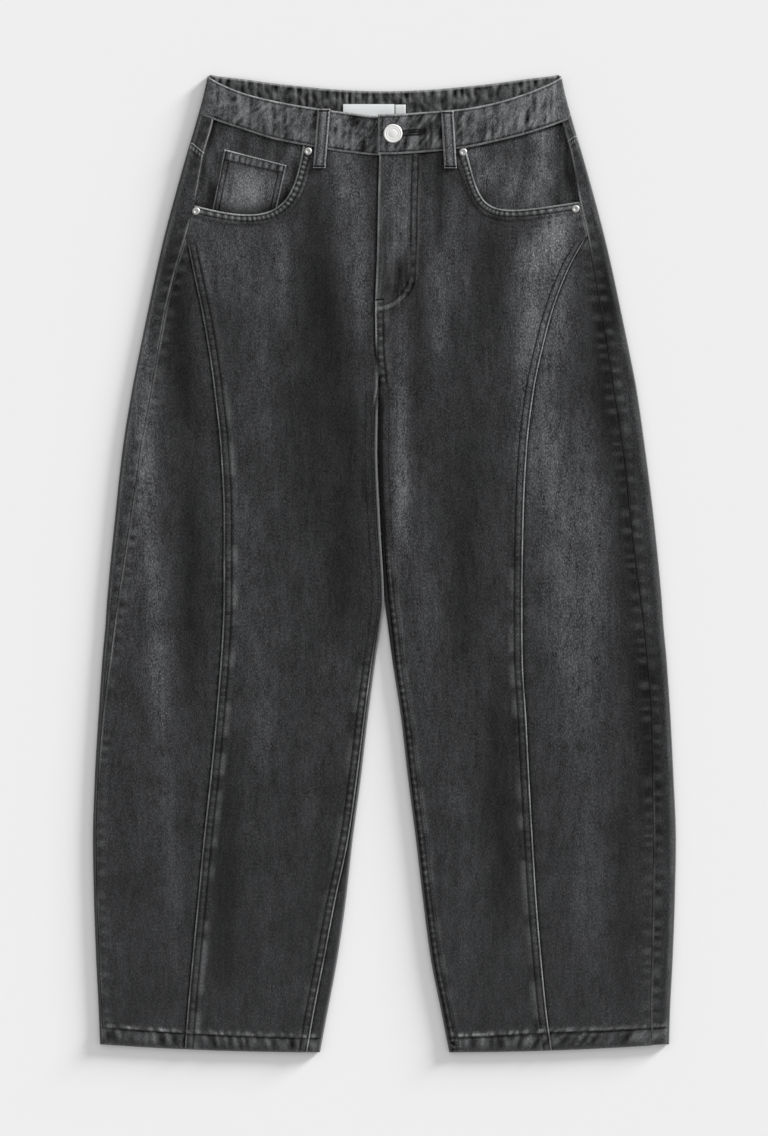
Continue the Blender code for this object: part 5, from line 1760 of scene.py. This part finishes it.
def emboss(n, shader, height, strength, distance):
    bump = n.add("Bump", {"Height": height, "Strength": strength, "Distance": distance})
    n.tree.links.new(bump.outputs[0], shader.inputs["Normal"])


def heather_group():
    """Streaks and twill of the yarn: a shade around 1 and a height, on the grain's own map."""
    tree = bpy.data.node_groups.new("Heathered twill", "ShaderNodeTree")
    for name, value in (("Streak", 1.5), ("Slub", 0.5), ("Cloud", 0.45)):
        tree.interface.new_socket(name, in_out="INPUT", socket_type="NodeSocketFloat").default_value = value
    for name in ("Shade", "Height", "Fleck"):
        tree.interface.new_socket(name, in_out="OUTPUT", socket_type="NodeSocketFloat")
    n = Nodes(tree)
    given, result = tree.nodes.new("NodeGroupInput"), tree.nodes.new("NodeGroupOutput")
    grain = n.add("UVMap", uv_map="Grain").outputs[0]

    def speckle(across, along, detail=2.0):
        scaled = n.add("Mapping", {"Vector": grain, "Scale": (across, along, 1.0)}).outputs[0]
        found = n.add("TexNoise", {"Vector": scaled, "Scale": 1.0, "Detail": detail, "Roughness": 0.55},
                      noise_dimensions="2D").outputs[0]
        return n.maths("MULTIPLY", n.maths("SUBTRACT", found, 0.5), 2.0)

    streak, slub, cloud = speckle(680.0, 430.0, 3.0), speckle(300.0, 90.0), speckle(105.0, 30.0, 3.0)
    yarn = speckle(1250.0, 400.0)
    fleck = n.maths("MAXIMUM", n.maths("ADD", streak, n.maths("MULTIPLY", yarn, 0.9)), -0.16)
    shade = n.maths("ADD", 0.884, n.maths("MULTIPLY", fleck, given.outputs["Streak"]))
    shade = n.maths("ADD", shade, n.maths("MULTIPLY", slub, given.outputs["Slub"]))
    shade = n.maths("ADD", shade, n.maths("MULTIPLY", cloud, given.outputs["Cloud"]))
    turned_grain = n.add("Mapping", {"Vector": grain, "Rotation": (0, 0, math.radians(28)),
                                     "Scale": (6800.0, 6800.0, 1.0)}).outputs[0]
    across = n.add("SeparateXYZ", {"Vector": turned_grain}).outputs[0]
    twill = n.maths("SINE", across)
    height = n.maths("ADD", n.maths("MULTIPLY", twill, 0.25), n.maths("MULTIPLY", streak, 0.6))
    height = n.maths("ADD", height, n.maths("MULTIPLY", slub, 0.4))
    tree.links.new(n.maths("MAXIMUM", shade, 0.15), result.inputs["Shade"])
    tree.links.new(height, result.inputs["Height"])
    tree.links.new(fleck, result.inputs["Fleck"])
    return tree


def new_material(name, roughness, metallic=0.0):
    material = bpy.data.materials.new(name)
    material.use_nodes = True
    n = Nodes(material.node_tree)
    shader = material.node_tree.nodes["Principled BSDF"]
    shader.inputs["Roughness"].default_value = roughness
    shader.inputs["Metallic"].default_value = metallic
    return material, n, shader


def denim_material(heather):
    """Washed denim: heathered charcoal, pale worn edges, dark stitch channels and painted shade."""
    material, n, shader = new_material("washed denim", 0.93)
    cloth_group = n.add("Group", node_tree=heather)
    wear_and_shade = n.add("Attribute", attribute_name="WearAndShade")
    strength = wear_and_shade.outputs["Alpha"]
    parts = n.add("SeparateColor", {"Color": wear_and_shade.outputs["Color"]})
    worn, groove, washed = (parts.outputs[k] for k in range(3))
    shade = n.maths("SUBTRACT", cloth_group.outputs["Shade"], 1.0)
    shade = n.maths("ADD", 1.0, n.maths("MULTIPLY", shade, strength))
    # The wash level and the darkening channel both carry painted shade as well as the cloth's own tone.
    shade = n.maths("MULTIPLY", n.maths("MAXIMUM", shade, 0.15), washed)
    shade = n.maths("MULTIPLY", shade, n.maths("SUBTRACT", 1.0, n.maths("MULTIPLY", groove, 0.8), clamp=True))
    base = n.add("VectorMath", {0: (*colours.denim,), "Scale": shade}, operation="SCALE").outputs[0]
    breakup = n.maths("ADD", 0.95, n.maths("MULTIPLY", cloth_group.outputs["Fleck"], 0.75))
    rubbed = n.maths("MULTIPLY", worn, breakup, clamp=True)
    n.tree.links.new(n.blend(rubbed, base, (*colours.worn, 1.0)), shader.inputs["Base Color"])
    emboss(n, shader, cloth_group.outputs["Height"], 0.55, 0.00035)
    shader.inputs["Sheen Weight"].default_value = 0.025
    shader.inputs["Sheen Roughness"].default_value = 0.6
    shader.inputs["Specular IOR Level"].default_value = 0.06
    return material


def thread_material():
    """Matt cotton thread with a faint twist."""
    material, n, shader = new_material("sewing thread", 0.8)
    place = n.add("TexCoord").outputs["Object"]
    fuzz = n.add("TexNoise", {"Vector": place, "Scale": 900.0, "Detail": 2.0}).outputs[0]
    shade = n.maths("ADD", 0.6, n.maths("MULTIPLY", fuzz, 0.8))
    tint(n, shader, (*colours.thread,), shade)
    shader.inputs["Specular IOR Level"].default_value = 0.1
    return material


def metal_material(name, bright, metallic):
    """Matt nickel with fine marks."""
    material, n, shader = new_material(name, 0.5, metallic)
    place = n.add("TexCoord").outputs["Object"]
    marks = n.add("TexNoise", {"Vector": place, "Scale": 1500.0, "Detail": 3.0}).outputs[0]
    cloudy = n.add("TexNoise", {"Vector": place, "Scale": 260.0, "Detail": 2.0}).outputs[0]
    rough = n.maths("ADD", 0.42, n.maths("MULTIPLY", cloudy, 0.2))
    n.tree.links.new(rough, shader.inputs["Roughness"])
    shade = n.maths("ADD", 0.82, n.maths("MULTIPLY", marks, 0.3))
    tint(n, shader, tuple(bright * part for part in colours.metal), shade)
    emboss(n, shader, marks, 0.25, 0.0001)
    return material


def label_material():
    """Blank satin weave: fine cross ribs on pale yarn."""
    material, n, shader = new_material("label satin", 0.55)
    grain = n.add("UVMap", uv_map="Grain").outputs[0]
    parts = n.add("SeparateXYZ", {"Vector": grain})
    ribs = n.maths("SINE", n.maths("MULTIPLY", parts.outputs[1], 7000.0))
    yarn = n.maths("SINE", n.maths("MULTIPLY", parts.outputs[0], 9000.0))
    weave = n.maths("MULTIPLY", ribs, yarn)
    shade = n.maths("ADD", 0.97, n.maths("MULTIPLY", weave, 0.05))
    tint(n, shader, (*colours.label,), shade)
    emboss(n, shader, weave, 0.3, 0.0001)
    shader.inputs["Sheen Weight"].default_value = 0.2
    return material


TAPE_COLOUR = (0.02, 0.02, 0.022)


def tape_material():
    """Zip tape: a herringbone of dark cotton."""
    material, n, shader = new_material("zip tape", 0.85)
    place = n.add("TexCoord").outputs["Object"]
    wave = n.add("TexWave", {"Vector": place, "Scale": 420.0, "Distortion": 1.5}).outputs["Fac"]
    shade = n.maths("ADD", 0.7, n.maths("MULTIPLY", wave, 0.6))
    tint(n, shader, TAPE_COLOUR, shade)
    return material


def make_materials():
    heather = heather_group()
    MATERIALS["denim"] = denim_material(heather)
    MATERIALS["thread"] = thread_material()
    MATERIALS["metal"] = metal_material("matt nickel", 1.0, 0.6)
    MATERIALS["cap"] = metal_material("worn nickel", 0.56, 0.9)
    MATERIALS["label"] = label_material()
    MATERIALS["tape"] = tape_material()


class Step:
    """What every step of the build shares."""

    bl_options = {"REGISTER", "UNDO"}

    def execute(self, context):
        global cloth_sizes, colours
        cloth_sizes, colours = context.scene.jeans_cloth, context.scene.jeans_colours
        if not MATERIALS:
            make_materials()
        self.make(context)
        return {"FINISHED"}


class JEANS_OT_fronts(Step, bpy.types.Operator):
    """Build both front panels, from the pocket scoops to the hems"""

    bl_idname = "jeans.fronts"
    bl_label = "Front panels"

    def make(self, context):
        for side in SIDES:
            front_panel(side)
            pocket_hem(side)


class JEANS_OT_sides(Step, bpy.types.Operator):
    """Build the side panels between the curved seams and the side seams"""

    bl_idname = "jeans.sides"
    bl_label = "Side panels"

    def make(self, context):
        for side in SIDES:
            side_panel(side)


class JEANS_OT_backs(Step, bpy.types.Operator):
    """Build the backs, which wrap round the folds onto the front"""

    bl_idname = "jeans.backs"
    bl_label = "Back panels and yokes"

    def make(self, context):
        for side in SIDES:
            back_panel(side)
            yoke(side)
            back_pocket(side)


class JEANS_OT_waist(Step, bpy.types.Operator):
    """Build the waistband with its puckers and buttonhole"""

    bl_idname = "jeans.waist"
    bl_label = "Waistband"

    def make(self, context):
        waistband()


class JEANS_OT_pockets(Step, bpy.types.Operator):
    """Build the pocket facings and the coin pocket"""

    bl_idname = "jeans.pockets"
    bl_label = "Front pockets"

    def make(self, context):
        for side in SIDES:
            pocket_facing(side)
        coin_pocket()


class JEANS_OT_loops(Step, bpy.types.Operator):
    """Build the belt loops"""

    bl_idname = "jeans.loops"
    bl_label = "Belt loops"

    def make(self, context):
        for side in SIDES:
            front_loop(side)
        for name, across in BACK_LOOPS.items():
            back_loop(name, across)


class JEANS_OT_trim(Step, bpy.types.Operator):
    """Build the button, rivets, blank labels and zip"""

    bl_idname = "jeans.trim"
    bl_label = "Button, rivets, labels and zip"

    def make(self, context):
        button()
        for name, (side, out, down) in RIVETS.items():
            rivet(name, side, out, down)
        label("label_piece", *LABEL, "waist_label")
        label("size_tab_piece", *SIZE_TAB, "size_tab")
        zip_tapes()
        zip_teeth()


class JEANS_OT_sewing(Step, bpy.types.Operator):
    """Lay the topstitching, the buttonhole and the bar tacks"""

    bl_idname = "jeans.sewing"
    bl_label = "Sewing"

    def make(self, context):
        for side in SIDES:
            seam_stitching(side)
        band_stitching()
        buttonhole()
        loop_stitching()


class JEANS_OT_stage(Step, bpy.types.Operator):
    """Set the floor, the soft light and the camera"""

    bl_idname = "jeans.stage"
    bl_label = "Stage"

    def make(self, context):
        settings = context.scene.jeans_stage
        lay_floor()
        declare_cuts()
        light_stage(context.scene, settings)
        place_camera(context.scene, settings)


FLOOR_HALF, FLOOR_DROP = 6.0, 0.0002


def lay_floor():
    bm = bmesh.new()
    bmesh.ops.create_grid(bm, x_segments=1, y_segments=1, size=FLOOR_HALF)
    bmesh.ops.translate(bm, verts=bm.verts[:], vec=(0, 0, -FLOOR_DROP))
    mesh = bpy.data.meshes.new("floor")
    bm.to_mesh(mesh)
    bm.free()
    material, _, shader = new_material("pale floor", 0.9)
    shader.inputs["Base Color"].default_value = (*colours.floor, 1.0)
    shader.inputs["Specular IOR Level"].default_value = 0.0
    mesh.materials.append(material)
    floor = bpy.data.objects.new("floor", mesh)
    bpy.context.scene.collection.objects.link(floor)
    floor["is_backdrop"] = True


def light_stage(scene, settings):
    """A soft sun from the upper right over an even pale sky."""
    lamp = bpy.data.lights.new("key", "SUN")
    lamp.energy = settings.sun
    lamp.angle = settings.spread
    key = bpy.data.objects.new("key", lamp)
    key.rotation_euler = (0, math.pi / 2 - settings.elevation, settings.azimuth)
    scene.collection.objects.link(key)
    world = bpy.data.worlds.new("pale studio")
    world.use_nodes = True
    sky = world.node_tree.nodes["Background"]
    sky.inputs["Color"].default_value = (1.0, 1.0, 1.0, 1.0)
    sky.inputs["Strength"].default_value = settings.sky
    scene.world = world
    scene.view_settings.view_transform = "Standard"
    scene.view_settings.look = "None"


def place_camera(scene, settings):
    """Straight down, with the frame's height over a millimetre for each of its pixels."""
    frame_length, frame_middle = 1.1352, (-0.00045, -0.0045)
    surface = 0.0055
    data = bpy.data.cameras.new("camera")
    data.sensor_width = 36.0
    data.lens = settings.height * data.sensor_width / frame_length
    data.clip_start = 0.1
    camera = bpy.data.objects.new("camera", data)
    camera.location = (*frame_middle, settings.height + surface)
    scene.collection.objects.link(camera)
    scene.camera = camera


STEPS = ("fronts", "sides", "backs", "waist", "pockets", "loops", "trim", "sewing", "stage")


class JEANS_PT_steps(bpy.types.Panel):
    """Lists the steps of the build"""

    bl_label = "Jeans"
    bl_space_type = "VIEW_3D"
    bl_region_type = "UI"
    bl_category = "Jeans"

    def draw(self, context):
        for group in (context.scene.jeans_cloth, context.scene.jeans_colours, context.scene.jeans_stage):
            for name in group.__annotations__:
                self.layout.prop(group, name)
        for step in STEPS:
            self.layout.operator(f"jeans.{step}")


CLASSES = (
    JeansCloth, JeansColours, JeansStage,
    JEANS_OT_fronts, JEANS_OT_sides, JEANS_OT_backs, JEANS_OT_waist, JEANS_OT_pockets,
    JEANS_OT_loops, JEANS_OT_trim, JEANS_OT_sewing, JEANS_OT_stage, JEANS_PT_steps,
)


def register():
    for made in CLASSES:
        bpy.utils.register_class(made)
    bpy.types.Scene.jeans_cloth = bpy.props.PointerProperty(type=JeansCloth)
    bpy.types.Scene.jeans_colours = bpy.props.PointerProperty(type=JeansColours)
    bpy.types.Scene.jeans_stage = bpy.props.PointerProperty(type=JeansStage)


def unregister():
    del bpy.types.Scene.jeans_cloth, bpy.types.Scene.jeans_colours, bpy.types.Scene.jeans_stage
    for made in reversed(CLASSES):
        bpy.utils.unregister_class(made)


def main():
    register()
    for step in STEPS:
        getattr(bpy.ops.jeans, step)()
    boxes = {"cad": CAD_BOX, "visual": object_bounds()}
    {name: [list(corner) for corner in box] for name, box in boxes.items()}


if __name__ == "__main__":
    main()
